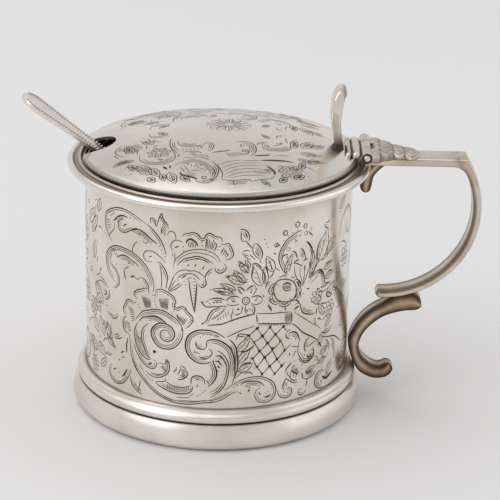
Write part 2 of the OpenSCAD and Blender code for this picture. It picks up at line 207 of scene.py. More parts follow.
def ring(width, x, y, r):
    """A closed engraved ring: a circle through ten points."""
    t = np.linspace(0, 2 * np.pi, 11)
    return width, np.stack([x + r * np.cos(t), y + r * np.sin(t)], -1)


def flower(x, y, r, petals, turn=0.0):
    """A daisy: petals as loops from the eye's edge out to r and back, with a vein in each, round a small eye."""
    a = np.radians(turn) + np.arange(petals)[:, None] * 2 * np.pi / petals
    side = np.array([-0.28, -0.42, -0.26, 0, 0.26, 0.42, 0.28]) * 2 * np.pi / petals
    out = np.array([0.3, 0.62, 0.92, 1.0, 0.92, 0.62, 0.3]) * r
    vein = r * np.array([0.38, 0.7])
    loops = np.stack([x + out * np.cos(a + side), y + out * np.sin(a + side)], -1)
    veins = np.stack([x + vein * np.cos(a), y + vein * np.sin(a)], -1)
    return [(main, loop) for loop in loops] + [(0.24, line) for line in veins] + [ring(0.3, x, y, 0.26 * r)]


def leaf(x0, y0, x1, y1, fat, veins=4):
    """A pointed leaf: two bowed sides from base to tip, a midrib, and slanting veins on one half."""
    base, way = np.array([x0, y0]), np.array([x1 - x0, y1 - y0])
    off = np.array([-way[1], way[0]]) * fat
    along = np.array([0, 0.2, 0.5, 0.8, 1])[:, None]
    bow = np.array([0, 0.75, 1, 0.5, 0])[:, None]
    t = np.linspace(0.15, 0.75, veins)[:, None]
    shade = np.stack([base + t * way, base + (t + 0.14) * way + 0.7 * off * (1 - (2 * t - 0.8) ** 2)], 1)
    return [(main, base + along * way + bow * off), (main, base + along * way - bow * off),
            (0.26, base + along[:4] * way)] + [(0.2, line) for line in shade]


def dots(width, *numbers):
    """Single pecks of the graver: at each place a stroke a quarter of a millimetre long."""
    return [(width, spot + [[-0.14, -0.06], [0, 0], [0.14, 0.06]]) for spot in np.reshape(numbers, (-1, 2))]


# The ornament is drawn on the sheet laid flat: the first number of a point runs round the drum from the middle of
# its front towards the handle, the second is its height.
upper_leaf = [
    cut(0.42, -28.4, 48.5, -29.3, 49.2, -30.4, 50.2, -31, 51.6, -31.1, 53.4, -30.8, 54.8, -30, 55.8, -28.6, 56.6,
        -26.6, 57.4, -24.4, 57.7, -22.4, 57.5, -20.6, 57, -18.2, 56, -17.4, 55.5),
    cut(main, -28.6, 48.6, -29.5, 49.6, -29, 50.2, -28, 51.2, -27.4, 52, -27.4, 53, -27.5, 53.6),
    cut(0.6, -27.8, 53.8, -27, 54.4, -26.2, 55.2, -25, 55.8, -24, 56, -22.7, 55.9), *dots(0.5, -21.9, 56, -20.7, 56),
    cut(fine, -29.6, 55.2, -28.6, 56.2), cut(fine, -29, 54.6, -27.8, 55.6), cut(fine, -28.2, 55.2, -27.2, 56.2),
    cut(0.42, -24.4, 55.2, -25.3, 54.6, -25.9, 53.7, -25.9, 52.7, -25.4, 52, -24.6, 51.8, -23.4, 52, -22.4, 52.6, -21,
        53.2, -20, 53.4), cut(0.5, -23.1, 54.3, -23.8, 53.7, -24.2, 53.3),
    *hatch(4, (-30.4, 53.2), (-30, 51.4), (-29.2, 53.8), (-28.8, 52)),
    cut(0.6, -22, 52.8, -20.6, 53.6, -19.2, 53.6, -17.8, 53.2, -16.4, 52.3, -15.2, 51.6, -14.2, 51),
    cut(fine, -21.6, 52.9, -20, 52.7, -18.6, 52.2), *dots(0.5, -13.7, 50.6, -13.1, 49.7, -12.6, 49, -12.2, 48.2),
    cut(0.42, -17.2, 55.5, -16, 54.9, -14.6, 53.7, -13.4, 52.3, -12.4, 50.4, -11.9, 48.7),
]
flame_leaf = [
    cut(main, -16, 55.9, -16, 57.2, -15.4, 57.3, -14.3, 56.6),
    cut(0.42, -14.2, 55.6, -14, 57, -13.3, 58.6, -13, 58.9, -12.8, 57.8, -12.2, 57, -11.6, 56.5, -11.4, 55.2),
    cut(0.42, -13.1, 55.4, -13.1, 53.8), *hatch(4, (-15.7, 57), (-14.9, 55.9), (-14.5, 56.4), (-14.2, 55.2)),
    *hatch(6, (-12.9, 57.6), (-13.4, 54.6), (-11.7, 56), (-12, 53.4)),
    cut(main, -11.7, 53.7, -11.2, 54.6, -10.5, 54.9, -9.8, 54.4, -9.5, 53.6, -9.6, 52.9),
    cut(main, -21.3, 47.5, -21.2, 48.7, -20.4, 50, -19.6, 50.6), cut(main, -18.2, 51.2, -17.4, 50.6, -16.6, 51.4),
    cut(main, -12, 46.6, -13, 47.6, -14.4, 48.6, -15.8, 49, -17, 48.8, -17.8, 48.2, -18, 47.4, -17.6, 46.6, -16.8,
        46.2, -16, 46.2, -15.6, 46.6), cut(0.4, -16.6, 47.3, -16, 47.6, -15.6, 47.8),
    cut(0.42, -14.3, 46.7, -13.4, 46.4, -12.4, 45.4, -11.8, 44.2, -11.5, 43, -11.6, 42.2, -11.9, 40.2),
    cut(main, -13.6, 46, -13.1, 44, -13, 42, -13.1, 40),
]
upper_shell = [
    cut(main, -10.2, 50, -10.7, 50.8, -10.6, 51.8, -10, 52.5, -9.2, 52.8, -8.3, 52.6, -7.8, 52.2),
    cut(0.45, -9.8, 50.7, -9.2, 51.2, -8.6, 51.2), cut(fine, -10.3, 49.6, -10.2, 48.4),
    cut(main, -9.7, 49.4, -9.7, 47.8), *dots(0.45, -7.7, 51.3, -7.6, 50.3),
    cut(0.42, -7.9, 53.8, -7.4, 54.5, -6.4, 54.8, -5.4, 55.1, -4.2, 54.75, -3.85, 54.2, -3.3, 53.75, -2.6, 53.95,
        -2.35, 54.65, -1.9, 55, -1.35, 55.15, -0.75, 54.8, -0.1, 54.4, 0.6, 54.3, 1.27, 54.05, 1.5, 53.5, 1.45,
        52.95),
    cut(0.42, 1.2, 52.5, 1.95, 52.4, 2.75, 52.7, 3.2, 52.5, 3.65, 51.7, 4, 50.8, 4.2, 49.9, 3.8, 49.1, 3.1, 48.7, 2.2,
        48.5), cut(0.65, -7, 52.2, -6.8, 52.9, -6, 53.4, -5.2, 53.1, -4.5, 52.5, -4.2, 51.7),
    *dots(0.5, -3.2, 52.9, -3.2, 52, 0.93, 51.9, 0.55, 51.05), cut(0.42, -2.35, 51, -2.2, 53, -1.8, 53.7),
    cut(main, -1.57, 53.7, -1.35, 53.05), cut(main, -0.45, 53.5, -0.55, 52.95),
    cut(0.42, -0.05, 52.95, 0.18, 52.1, -0.05, 51.45, -0.45, 50.65), cut(main, 1.15, 50.4, 1.75, 51.25, 1.95, 51.7),
    cut(main, 1.95, 51.35, 2.4, 50.65, 2.75, 49.85), *dots(0.6, 2.75, 49.9),
    *hatch(5, (-6.6, 52.8), (-4.7, 52.4), (-6.2, 51.2), (-4.8, 51.3)),
    *hatch(5, (-1.9, 53.4), (-0.2, 53), (-1.9, 51.2), (-0.8, 50.9)),
    *hatch(4, (2, 51.6), (3.2, 50.2), (1.2, 50), (2.2, 48.9)),
    cut(main, -10.2, 45.6, -9.6, 47.8, -8.6, 48.9, -7.4, 50, -6, 50.6, -4.65, 50.9, -3.05, 51, -1.45, 50.6, 0, 49.85,
        0.8, 48.75, 1.15, 47.8),
    cut(fine, -9.4, 47, -8.2, 48.6, -6, 49.85, -3.95, 50.1, -2.15, 49.85, -0.55, 49.2, 0.6, 48.05),
    cut(0.42, -9.2, 46.4, -8.2, 47.6, -7, 48.5, -6, 48.75, -4.65, 49.2, -3.5, 49.15, -2.15, 48.6, -1.1, 47.95, -0.55,
        47.5), cut(fine, -7.4, 47.6, -5.55, 48.4, -4.2, 48.55, -2.6, 48.4, -1.45, 47.7),
    cut(0.4, -6.3, 47.2, -6.6, 46.4), cut(0.42, -4.6, 47.35, -4.9, 46.55), cut(0.42, -2.6, 46.9, -3.2, 45.9),
    cut(0.42, 2.05, 47.6, 2.5, 46.9, 2.4, 46.1, 1.85, 45.5, 1.05, 45.2, 0.35, 45.45, -0.05, 46.1, -0.05, 46.7),
    *dots(0.5, 0.8, 46.1), cut(0.42, -2.4, 43.85, -2.25, 44.65, -1.7, 45.55, -1.1, 46.1, -0.65, 46.25),
    cut(main, -9.9, 43.8, -8.6, 45.1, -7, 45.6, -6, 45.4, -4.85, 45.55, -3.75, 45.1, -2.8, 44.4, -2.4, 43.85),
    cut(main, -9.2, 43.2, -7.6, 44.4, -6, 44.75, -5.1, 44.65, -4.2, 43.95, -3.6, 43.3),
    cut(0.5, -8, 43.4, -6.8, 44.4), cut(fine, -7, 43.2, -6, 43.6, -5.3, 43.85, -4.4, 43.05),
    cut(0.4, -2.3, 44, -2.25, 43.3, -2.1, 42.5, -2.5, 41.7, -3.05, 41.45, -3.6, 41.7, -3.85, 42.2),
    *dots(0.35, -3.05, 42.3), cut(0.42, -6.3, 43.4, -6.1, 42, -5.9, 40.4, -5.6, 38.6, -5.2, 36.6, -4.8, 34.9),
    cut(0.5, -4.3, 42.6, -4.4, 41, -4.5, 39.45, -4.65, 37.2, -4.8, 34.9),
    *hatch(9, (-5.4, 42.6), (-4.95, 36.6), (-4.45, 42.9), (-4.7, 36)),
    cut(main, -11.4, 39.7, -10.9, 41, -10.4, 42.4, -9.8, 44), cut(fine, -11.2, 39.8, -10.3, 41.4, -9.4, 42.8),
    cut(main, -11.1, 39.7, -9.8, 40.9, -8.4, 42.2), cut(main, -11.4, 39.6, -10.4, 39.9, -9, 40.8, -7.8, 42),
    *dots(0.4, -9, 42.8, -7.4, 42.6, -7, 41.9),
]
middle_leaf = [
    cut(0.45, -27.2, 38.3, -27.8, 38.8, -28.8, 39.4, -29.8, 40.2, -30.4, 41.2, -30.7, 42.6, -30.7, 44, -30.2, 45.4,
        -29, 46.6, -27.4, 47.5, -25.4, 47.9, -23.4, 47.8, -21.9, 47.6, -20, 47, -18.4, 46, -17.2, 45, -16.4, 43.8,
        -15.6, 42.4, -15.1, 40.6, -15.1, 39.6, -15.4, 38.6),
    cut(0.42, -29, 43.6, -28.9, 42.8, -28.2, 42.4, -27.2, 41.9, -26.2, 41, -25.7, 39.8, -25.6, 38.6, -25.9, 37.9,
        -26.6, 37.2, -27.4, 36.6, -27.9, 37), cut(0.45, -29, 43.5, -28.8, 44.6, -28.4, 45.4),
    cut(0.5, -26.4, 44.7, -25.6, 45.4, -24.6, 45.9, -23.2, 46, -22, 45.6, -20.4, 45, -19.2, 44.3),
    *dots(0.45, -18.6, 43.8, -17.8, 43.3, -17, 42.6), *dots(0.55, -26.6, 43),
    cut(0.5, -24, 42.6, -23.8, 41.4, -23.6, 40.4, -23.4, 40), cut(main, -23.8, 42.5, -23, 43.2, -22.2, 43.6),
    cut(0.45, -22.7, 44.2, -22.2, 44.6), cut(0.5, -22, 41.3, -21.4, 41.2, -20.8, 41.5),
    cut(main, -21.9, 41.2, -21, 41.6, -20, 41, -19.4, 41.2, -18.8, 41.6),
    cut(0.4, -19, 41.8, -18, 41.6, -17, 40.8, -16.5, 39.8, -16.6, 38.8, -16.2, 38.2),
    *hatch(4, (-28.4, 46), (-26.8, 44.8), (-27.4, 46.8), (-26, 45.6)),
]
ruffle_shell = [
    cut(0.42, -19.8, 36.1, -20.6, 36.6, -20.9, 37.3, -20.3, 37.9, -19.6, 38.4, -18.6, 38.8, -17.6, 39.2, -16.8, 39.4),
    cut(0.42, -15.6, 38, -15, 37.9, -14.5, 38.4, -14.6, 39.3, -13.8, 39.7, -12.8, 39.8, -11.8, 39.5, -10.8, 39, -10,
        38.5, -9.6, 37.7, -9.4, 37, -9.8, 36.3, -9.6, 35.9, -9, 35.6, -8.6, 35.9, -7.8, 36.2, -7, 35.9, -6.6, 35.1,
        -5.8, 34.4, -5.2, 33.6, -5.2, 32.6, -5.8, 31.8, -6.2, 31.2, -6.8, 30.8, -7.2, 30.7),
    *dots(0.5, -19.1, 38.6, -17.9, 39.2, -20.4, 37.6, -13.5, 39.7, -12.1, 39.5, -10.8, 39, -9.7, 37.9, -9.6, 36.1, -7,
        35.6, -5.8, 34.3, -5.4, 32.8, -6.2, 31.3, -23.5, 33.9, -24.1, 32.6, -23.6, 30.5, -24.3, 28.8, -24.1, 27.3),
    cut(0.42, -20, 35.1, -20.8, 34.8, -21.4, 35, -22.2, 35.2, -23, 34.9, -23.5, 34, -24.1, 33, -24.3, 32.2, -24, 31.4,
        -23.4, 31, -23.4, 30.5),
    cut(0.45, -23.4, 30.4, -24.2, 29.8, -24.4, 28.8, -24.2, 27.8, -24, 27, -23.4, 26.4, -22.6, 26.4),
    *dots(0.42, -14.9, 37.1, -14.8, 36.4, -14.7, 35.7, -14.4, 35.1, -19.6, 34.6, -19.2, 33.9, -18.7, 33.4, -9.8, 35.2,
        -9.9, 34.6, -10.3, 34.2),
    cut(0.45, -20.2, 30.6, -19.4, 31.8, -18.4, 33, -17.6, 33.5, -16.6, 33.8, -15.2, 34.3, -13.4, 34.5, -12, 34.3,
        -10.8, 33.7, -9.8, 33.2, -8.8, 32.4, -8, 31.2, -7.8, 29.8),
    *hatch(8, (-13.7, 37.5), (-11.3, 37.9), (-13, 35), (-11.5, 34.8)),
    *hatch(8, (-18.4, 37.2), (-16.2, 36.8), (-17.4, 34.1), (-15.8, 34.5)),
    *hatch(8, (-9.4, 34.3), (-6.6, 33.2), (-8.8, 32.8), (-7.6, 31.4)),
    *hatch(8, (-22.9, 33.6), (-21.6, 29.8), (-20.8, 32.8), (-20.3, 30.6)),
    *hatch(6, (-23.4, 29.4), (-22.6, 27), (-22, 29), (-21.6, 27.2)),
]
left_spiral = [
    cut(0.5, -8, 31.2, -7.6, 30, -7.8, 28.2, -8.6, 26.6, -10, 25.2, -11.8, 24.7, -13.2, 24.8, -14.6, 25.6, -15.5, 27,
        -15.8, 28.4, -15.4, 29.6, -14.4, 30.6, -13.4, 31.1, -12, 31.2, -10.8, 30.8, -10, 30, -9.6, 28.8, -9.9, 27.8,
        -10.6, 27, -11.8, 26.7, -12.8, 27, -13.3, 27.8, -13.3, 28.6, -12.9, 29.2, -12.1, 29.6, -11.4, 29.4, -11, 28.9,
        -11, 28.4), cut(0.65, -18.2, 31.6, -17, 32, -15.6, 32.5, -14.4, 32.6, -13.2, 32.2, -12.2, 31.6, -11.6, 31.1),
    cut(main, -19.4, 30.2, -18.8, 31, -17.8, 31.7), cut(fine, -15.2, 27.4, -15.3, 28.6, -14.8, 29.7, -13.9, 30.4),
    cut(fine, -14.7, 27.6, -14.8, 28.6, -14.3, 29.4),
    cut(0.42, -22.6, 26.4, -22.1, 25, -21.9, 22.6, -21.4, 20.2, -20.8, 19, -20, 17.6, -18.8, 16.2, -17.4, 14.9, -15.8,
        13.6, -13.8, 12.4, -11.8, 11.6, -9.6, 11.1, -7, 11, -4.65, 11.25, -3.05, 11.6, -1.45, 11.8, -0.1, 11.95, 1.3,
        12.4, 2.65, 13.05, 3.75, 13.85, 4.9, 14.45, 5.8, 14.55, 6.6, 14.2), *dots(0.6, 6.5, 14.15),
    cut(0.65, -21.5, 20.5, -20.9, 19.2, -20.2, 17.9, -19.2, 16.6),
    cut(main, -17.9, 15.9, -16, 14.4, -14.2, 13.2, -12, 12.1, -10, 11.5),
    cut(fine, -9.2, 12.6, -7.4, 12.6, -5.6, 12.9), cut(fine, -8.8, 11.8, -6.6, 11.9, -4.4, 12, -1.9, 12.4),
    cut(fine, -6, 13.3, -4.8, 13.8),
    cut(0.5, -19.7, 29.9, -20.4, 28.4, -20.6, 27, -20.4, 25.4, -19.8, 23.6, -18.8, 22.2, -17.4, 21.2, -16.4, 21,
        -15.8, 21.4),
    cut(0.42, -16.6, 30.4, -17.8, 29.2, -18.4, 28, -18.5, 26.4, -18.2, 25, -17.4, 23.2, -16.4, 21.8, -15.8, 21.4),
    *hatch(14, (-20.3, 26.4), (-16.8, 21.2), (-18.5, 26.2), (-16.3, 21.7)),
]
inner_curls = [
    cut(0.42, -20.8, 24.4, -20.2, 22.6, -19, 20.8, -17.6, 19.5, -16.2, 18.9, -15, 19, -14.4, 19.8, -14.3, 20.6, -14.8,
        21.2, -15.4, 21.1), cut(0.7, -16.6, 19.8, -15.8, 20.2, -15.4, 20),
    cut(0.42, -14, 20.6, -13, 20.8, -12.2, 20.5, -11.9, 21.2, -11.8, 22, -11.2, 21.6, -10.9, 20.4, -11, 19.2, -11.6,
        18.2, -12.6, 17.4, -13.8, 16.9, -15, 16.8, -16.2, 17.2, -17.2, 17.8),
    cut(main, -15.8, 17.7, -14.2, 17.6, -12.6, 18, -11.8, 18.9, -11.8, 20),
    *hatch(6, (-13.4, 19.8), (-12.2, 18.4), (-12.2, 20), (-11.8, 19)),
    cut(fine, -19.4, 19.2, -18.8, 18.6, -18, 17.8),
    *dots(0.42, -17.8, 17.3, -17.2, 16.8, -16.6, 16.4, -16, 16, -15.4, 15.7),
    cut(main, -14.6, 15.5, -13.6, 15.9, -12.6, 16, -11.9, 16.4, -11.9, 17.2),
    cut(main, -11.8, 16.3, -10.8, 15.7, -9.6, 15.3, -8.2, 15.2, -6.8, 15.5, -5.6, 16),
    cut(0.5, -14.6, 15.5, -13.4, 14.7, -12, 14.2, -10.4, 13.7, -8.6, 13.5, -7, 13.7, -5.8, 14.2, -5.2, 15, -5.2, 16),
    *hatch(14, (-11.4, 15.8), (-5.6, 15.6), (-11.2, 14.2), (-5.7, 14.6)),
    cut(1.3, -15.3, 23.2, -14.9, 23.4, -14.5, 23.5), cut(main, -8.1, 21, -7.4, 20.7, -6.7, 20),
    cut(0.45, -6.6, 19.9, -6.4, 18.6, -7, 17.9, -8.2, 17.2, -8.8, 17.6), cut(main, -8, 20.8, -8.3, 19.4, -8.9, 18.4),
    *hatch(3, (-9, 20.5), (-9.6, 19.6), (-9.3, 19.1), (-9.9, 18.9)),
    *hatch(7, (-8.1, 20), (-7.6, 17.6), (-6.7, 19.8), (-6.9, 18.2)),
]
right_volute = [
    cut(0.55, 2.5, 28.8, 1.5, 29.45, 0.15, 30.2, -1.2, 30.6, -2.6, 30.65, -3.95, 30.5, -5.1, 29.9, -6.2, 29, -6.8,
        27.5, -6.9, 25.8, -6.3, 24.1, -5.3, 22.95, -4.2, 22.25, -3.05, 22, -1.7, 22.15, -0.55, 22.6),
    *dots(0.45, -3.25, 28.8, -2.6, 29.35, -1.8, 29.5, -1, 29.45), cut(fine, 0, 29.45, 1.3, 28.9),
    cut(0.55, -2, 26, -1.8, 27, -1.8, 27.75, -1.1, 28.15, -0.1, 28.3, 1.05, 28.1, 2.2, 27.5, 3.1, 26.8, 4, 25.7, 4.55,
        24.3, 4.85, 22.7, 4.85, 21.15, 5, 19.8, 4.9, 18.4, 4.35, 16.8),
    cut(0.5, -4.3, 27.65, -4.4, 26.95, -4.05, 26.15, -3.25, 25.7, -2.5, 25.75, -2, 26),
    cut(0.6, 3.55, 28.3, 4.35, 27.5, 5.15, 26.15, 5.5, 24.1, 5.7, 21.8, 5.6, 20.2, 5.15, 19.1),
    cut(main, -1.45, 26, -0.65, 25.35, -0.55, 24.55, -1.1, 23.75, -1.9, 23.2, -3, 23),
    cut(fine, -3.95, 23.75, -2.6, 23.6, -1.2, 24), cut(fine, -3.7, 23.4, -2.6, 23.3, -1.5, 23.4),
    cut(main, -5.1, 24.9, -4.3, 24.45), cut(fine, -4.9, 25.6, -4.4, 24.9, -3.4, 24.4),
    cut(0.42, 0.6, 25.45, 1.75, 24.9, 2.75, 23.65, 3.45, 22.05, 3.55, 20.25, 3.1, 17.95, 2.4, 16.15, 1.3, 14.65, 0.15,
        13.75, -0.75, 13.2), cut(main, 1.95, 23.4, 2.95, 21.6, 3.05, 20, 2.4, 17.5),
    cut(0.5, 0.35, 24, 1.3, 24.1, 1.85, 23.5, 2.3, 22.95), cut(0.5, 0.15, 22.7, 1.05, 22.6, 1.85, 21.5),
    cut(0.6, 0.8, 21.5, 1.4, 20.9), cut(main, 0.8, 20.4, 1.1, 19.9),
    cut(0.55, -0.2, 23.2, -0.2, 22.4, 0.25, 21.35, 0.6, 20, 0.55, 18.65, 0, 17.5, -0.8, 16.5, -1.35, 16),
    cut(0.45, -5.45, 16.4, -5.45, 17.75, -5, 18.4, -4.2, 18.7, -3.25, 18.6, -2.6, 18.2, -2.2, 17.5, -2.15, 16.6),
    cut(main, -1.9, 17.75, -1.35, 17.15, -1.2, 16.35), cut(main, -4.5, 17.5, -3.95, 17.85, -3.5, 17.6),
    cut(main, -4.3, 15.7, -3.85, 16.15, -3.75, 16.6), *dots(0.45, -4, 13.4, -3.25, 13.85, -2.6, 14.45, -2.1, 14.95),
    *hatch(12, (-1.2, 12.6), (3.2, 14.6), (-0.6, 12), (3.6, 13.8)), cut(fine, -1, 14.4, 0.6, 15.4, 1.8, 16.9),
    cut(fine, -0.6, 13.9, 0.9, 14.8, 2, 16.2), *hatch(10, (4.95, 24), (5, 18.6), (5.4, 24), (5.4, 19.4)),
]
leaf_pair = [
    cut(0.4, -3.4, 37.85, -2.95, 37.9, -3.05, 37.5, -2.6, 37.05, -1.9, 36.6, -0.55, 36.7, 1.05, 36.8),
    cut(0.55, -3.3, 37.8, -2.7, 37.4), cut(main, -2.35, 37.75, -1.45, 38.3),
    cut(0.45, -1.35, 38.45, -0.55, 38.75, 0.8, 38.9, 1.75, 38.65, 2.4, 38.45),
    *hatch(4, (-1.6, 37.8), (1.2, 38.4), (-0.8, 37.2), (1.6, 37.6)),
    cut(0.42, -3.15, 32.2, -2.35, 32.65, -1.8, 33.3, -1.55, 34.25, -1.1, 35, -0.55, 35.8, 0.5, 36.3, 1.3, 36.9, 2.4,
        36.8, 3.1, 36.6), cut(0.45, -1.8, 31.9, -0.3, 32.05, 1.75, 32.3, 3.1, 32.85, 4, 33.3),
    cut(main, 4, 33.3, 3.9, 34.4, 4.2, 35.4), cut(0.6, -3.15, 32.2, -2.6, 32.35),
    cut(main, -0.75, 33.3, 0.8, 34.45, 2.65, 36.3),
    *hatch(6, (-0.9, 33.8), (2, 36.3), (-0.2, 33.6), (2.2, 35.8)),
    *hatch(5, (0.6, 33), (3.4, 34.4), (1, 34), (3, 35.8)), *dots(0.45, -1.1, 40.95, 1.3, 42.5, 4.2, 41.95),
    cut(0.45, 0.35, 40.6, 1.3, 40.5, 2.4, 40), cut(0.45, 3.1, 41.6, 3.4, 40.95, 4, 40.25),
    cut(fine, 1.6, 41.7, 2.5, 40.7),
]
daisy = [
    ring(0.36, 7.35, 38.05, 0.92), ring(fine, 7.35, 38.05, 0.45),
    cut(0.48, 2.65, 38.2, 3.2, 38.9, 4, 39.3, 4.9, 39.35, 5.8, 39),
    cut(main, 2.75, 37.5, 3.55, 37.05, 4.7, 37.05, 5.8, 37.3), cut(0.5, 4, 38, 4.9, 38.05),
    cut(0.48, 5.15, 41.6, 5.8, 41.6, 6.5, 41.15, 7.05, 40.35), cut(main, 5.3, 41.4, 5.7, 40.6, 6.4, 39.7),
    cut(0.45, 6, 40.4, 6.3, 39.9), cut(0.48, 7.4, 40.6, 7.85, 41.15, 8.65, 41.65, 9.45, 41.85),
    cut(main, 9.5, 41.8, 9.8, 40.6, 8.9, 39.2), cut(0.6, 8.5, 40.3, 8.6, 39.9),
    cut(0.45, 8.55, 38.9, 9.7, 39.1, 10.7, 38.95, 11.4, 38.2), cut(main, 8.6, 37.4, 9.7, 36.9, 11, 37.3, 11.4, 38.1),
    cut(0.5, 9.5, 38.1, 9.9, 37.9),
    cut(0.45, 8.55, 36.85, 9.25, 36.5, 9.55, 35.8, 9.45, 34.9, 8.8, 34.35, 7.65, 34.55),
    cut(0.45, 7.5, 35.9, 7.85, 35.2), cut(0.45, 8.2, 36.1, 8.3, 35.7), cut(main, 7.3, 36.9, 7.2, 35.6, 7.6, 34.6),
    cut(0.45, 6.3, 35.1, 5.6, 34.7, 4.7, 34.55), cut(main, 4.35, 36.3, 4.2, 35.4, 4.6, 34.7),
    cut(0.6, 5.15, 35.8, 5.8, 36.2), cut(main, 6.4, 36.9, 6.5, 35.9, 6.3, 35.1),
]
buds = [
    cut(0.42, 5.6, 56.1, 6.7, 55.95, 7.4, 55.4, 7.85, 54.65, 7.9, 53.5, 7.65, 53.05),
    cut(main, 5.95, 55.9, 5.95, 53.7, 6.4, 53.1, 7.4, 53.15),
    cut(0.42, 7.05, 53.15, 7.65, 52.35, 8.55, 51.35, 8.8, 51), cut(fine, 6.4, 55, 7, 53.8),
    cut(fine, 6.9, 55.2, 7.3, 54), cut(0.48, 9.35, 52.5, 10, 52, 10.7, 51, 11.15, 49.85, 11.05, 48.75, 10.7, 48.3),
    cut(main, 9.35, 52.5, 8.75, 51.2, 8.9, 50.1, 9.7, 48.95, 10.6, 48.3),
    *hatch(4, (9.3, 50.6), (10.2, 49.4), (9.9, 49.4), (10.6, 48.8)), cut(0.42, 10.5, 48.15, 10.95, 47.35),
    cut(main, 6.25, 50.3, 6.75, 50.65, 7.65, 50.75, 8.2, 50.5),
    cut(main, 6.25, 50.2, 6.85, 49.4, 7.65, 48.6, 8.3, 48.4), cut(main, 8, 49.75, 8.8, 48.95, 9.45, 48.25),
    cut(fine, 6.8, 50, 7.8, 49.2), cut(0.5, 5.15, 48.05, 5.8, 47.95, 6.5, 47.35, 6.95, 46.7),
    cut(0.42, 5.95, 46.85, 6.7, 46.8), cut(0.55, 6.75, 45.75, 7.4, 45.45, 7.75, 45.1),
    cut(0.5, 7.5, 47.15, 7.65, 46.2, 8, 45.55), cut(0.42, 8.55, 47.25, 9.7, 47.35, 10.35, 46.8, 11.15, 45.9),
    cut(main, 8.65, 47.15, 9.1, 46.2, 8.8, 45.1, 8.65, 43.5), cut(0.5, 2.4, 44.2, 3.55, 44.4),
    cut(0.45, 4.2, 45.3, 4.25, 44.3), cut(main, 4.7, 45.1, 6.05, 45, 6.7, 44.2), cut(0.5, 6.05, 44.05, 6.5, 43.15),
    *dots(0.5, 7.5, 43.4, 8.8, 43.6, 7.4, 42.8), *dots(0.55, 11.65, 53.1, 12.1, 51.95, 12.55, 51.1),
    cut(main, 11.7, 47.7, 12.5, 48.4), cut(main, 12.9, 47.8, 13.4, 46.45, 13.5, 45.3),
    cut(0.5, 12.05, 46.45, 12.3, 45.55, 12.7, 44.75), cut(0.45, 14.1, 45.1, 13.85, 44.05, 13.05, 43.25),
    cut(0.42, 10, 47.25, 11, 46.2), cut(main, 14.55, 45.8, 15.7, 44.6),
]
fern_and_tulip = [
    cut(0.45, 21.8, 53.85, 20.7, 53.7, 19.55, 53.4, 18.4, 52.8, 17.25, 52, 16.5, 51, 15.8, 49.85, 15.45, 48.7, 15.4,
        47.6, 15.7, 46.45, 16.25, 45.2, 17.05, 44.05, 17.75, 43.15), ring(0.36, 16.95, 54.05, 0.6),
    ring(0.36, 20.35, 55.55, 0.65), ring(0.34, 22.7, 54.75, 0.55), ring(0.3, 24.55, 53.6, 0.35),
    ring(0.3, 23.05, 52.8, 0.5), ring(0.36, 14.65, 51.35, 0.5), ring(fine, 17.85, 49.85, 0.45),
    *dots(0.5, 16.7, 54.1, 20.05, 55.5, 22.4, 54.8, 14.7, 51.3), cut(main, 15.1, 51.7, 15.7, 50.75),
    cut(0.5, 14, 49.6, 14.65, 48.95), cut(0.45, 23.75, 53.15, 24.55, 52.35, 25.2, 51.7),
    cut(fine, 17.5, 53.7, 17.85, 52.9), *dots(0.4, 18.95, 53.85, 16.6, 52.25, 21.15, 52.6, 19.9, 51.3),
    cut(fine, 20.55, 54.4, 20.4, 53.8), cut(fine, 20.9, 52.3, 21.6, 53.1),
    cut(fine, 19.4, 52.2, 20, 51.6, 20.5, 51.5), cut(0.42, 16, 47.9, 16.6, 48.4, 17.85, 48.6),
    cut(0.5, 17.3, 47.6, 17.85, 48.05), *dots(0.45, 17.7, 46.45, 18.5, 44.75, 17.5, 44.2),
    cut(0.5, 18.3, 45.55, 18.5, 46.1), cut(0.48, 19, 49.05, 19.65, 48.85, 20.2, 48.15, 20.55, 46.9),
    cut(0.48, 21.35, 49.3, 22.05, 48.95, 22.6, 48.05, 22.95, 46.9, 23.05, 46.2),
    cut(0.5, 22.25, 45.9, 23.2, 46.2, 23.85, 46.35), cut(0.5, 19.45, 45.95, 20.2, 46.45, 21.25, 46.55),
    cut(0.4, 19.45, 45.95, 20.45, 45.75, 21.35, 45.2, 22.25, 44.75),
    cut(0.7, 23.2, 50.65, 23.85, 50.2, 24.55, 49.3, 25.2, 48.25),
    cut(main, 25.2, 48.25, 25.8, 47.35, 26, 46.2, 25.9, 45.1), cut(fine, 24.9, 48.6, 25, 46.9),
    cut(0.55, 24.55, 45.55, 24.45, 44.2), cut(0.55, 22.95, 44.85, 22.85, 43.3),
    cut(main, 19.75, 45.3, 20, 43.15, 21.2, 41, 22.2, 39.5), cut(fine, 21.6, 44.6, 21.5, 43, 22, 41.2, 22.3, 39.6),
    cut(main, 22.85, 43.3, 22.7, 41.4, 22.4, 39.6), cut(main, 24.45, 44.2, 23.4, 41.6, 22.6, 39.8),
]
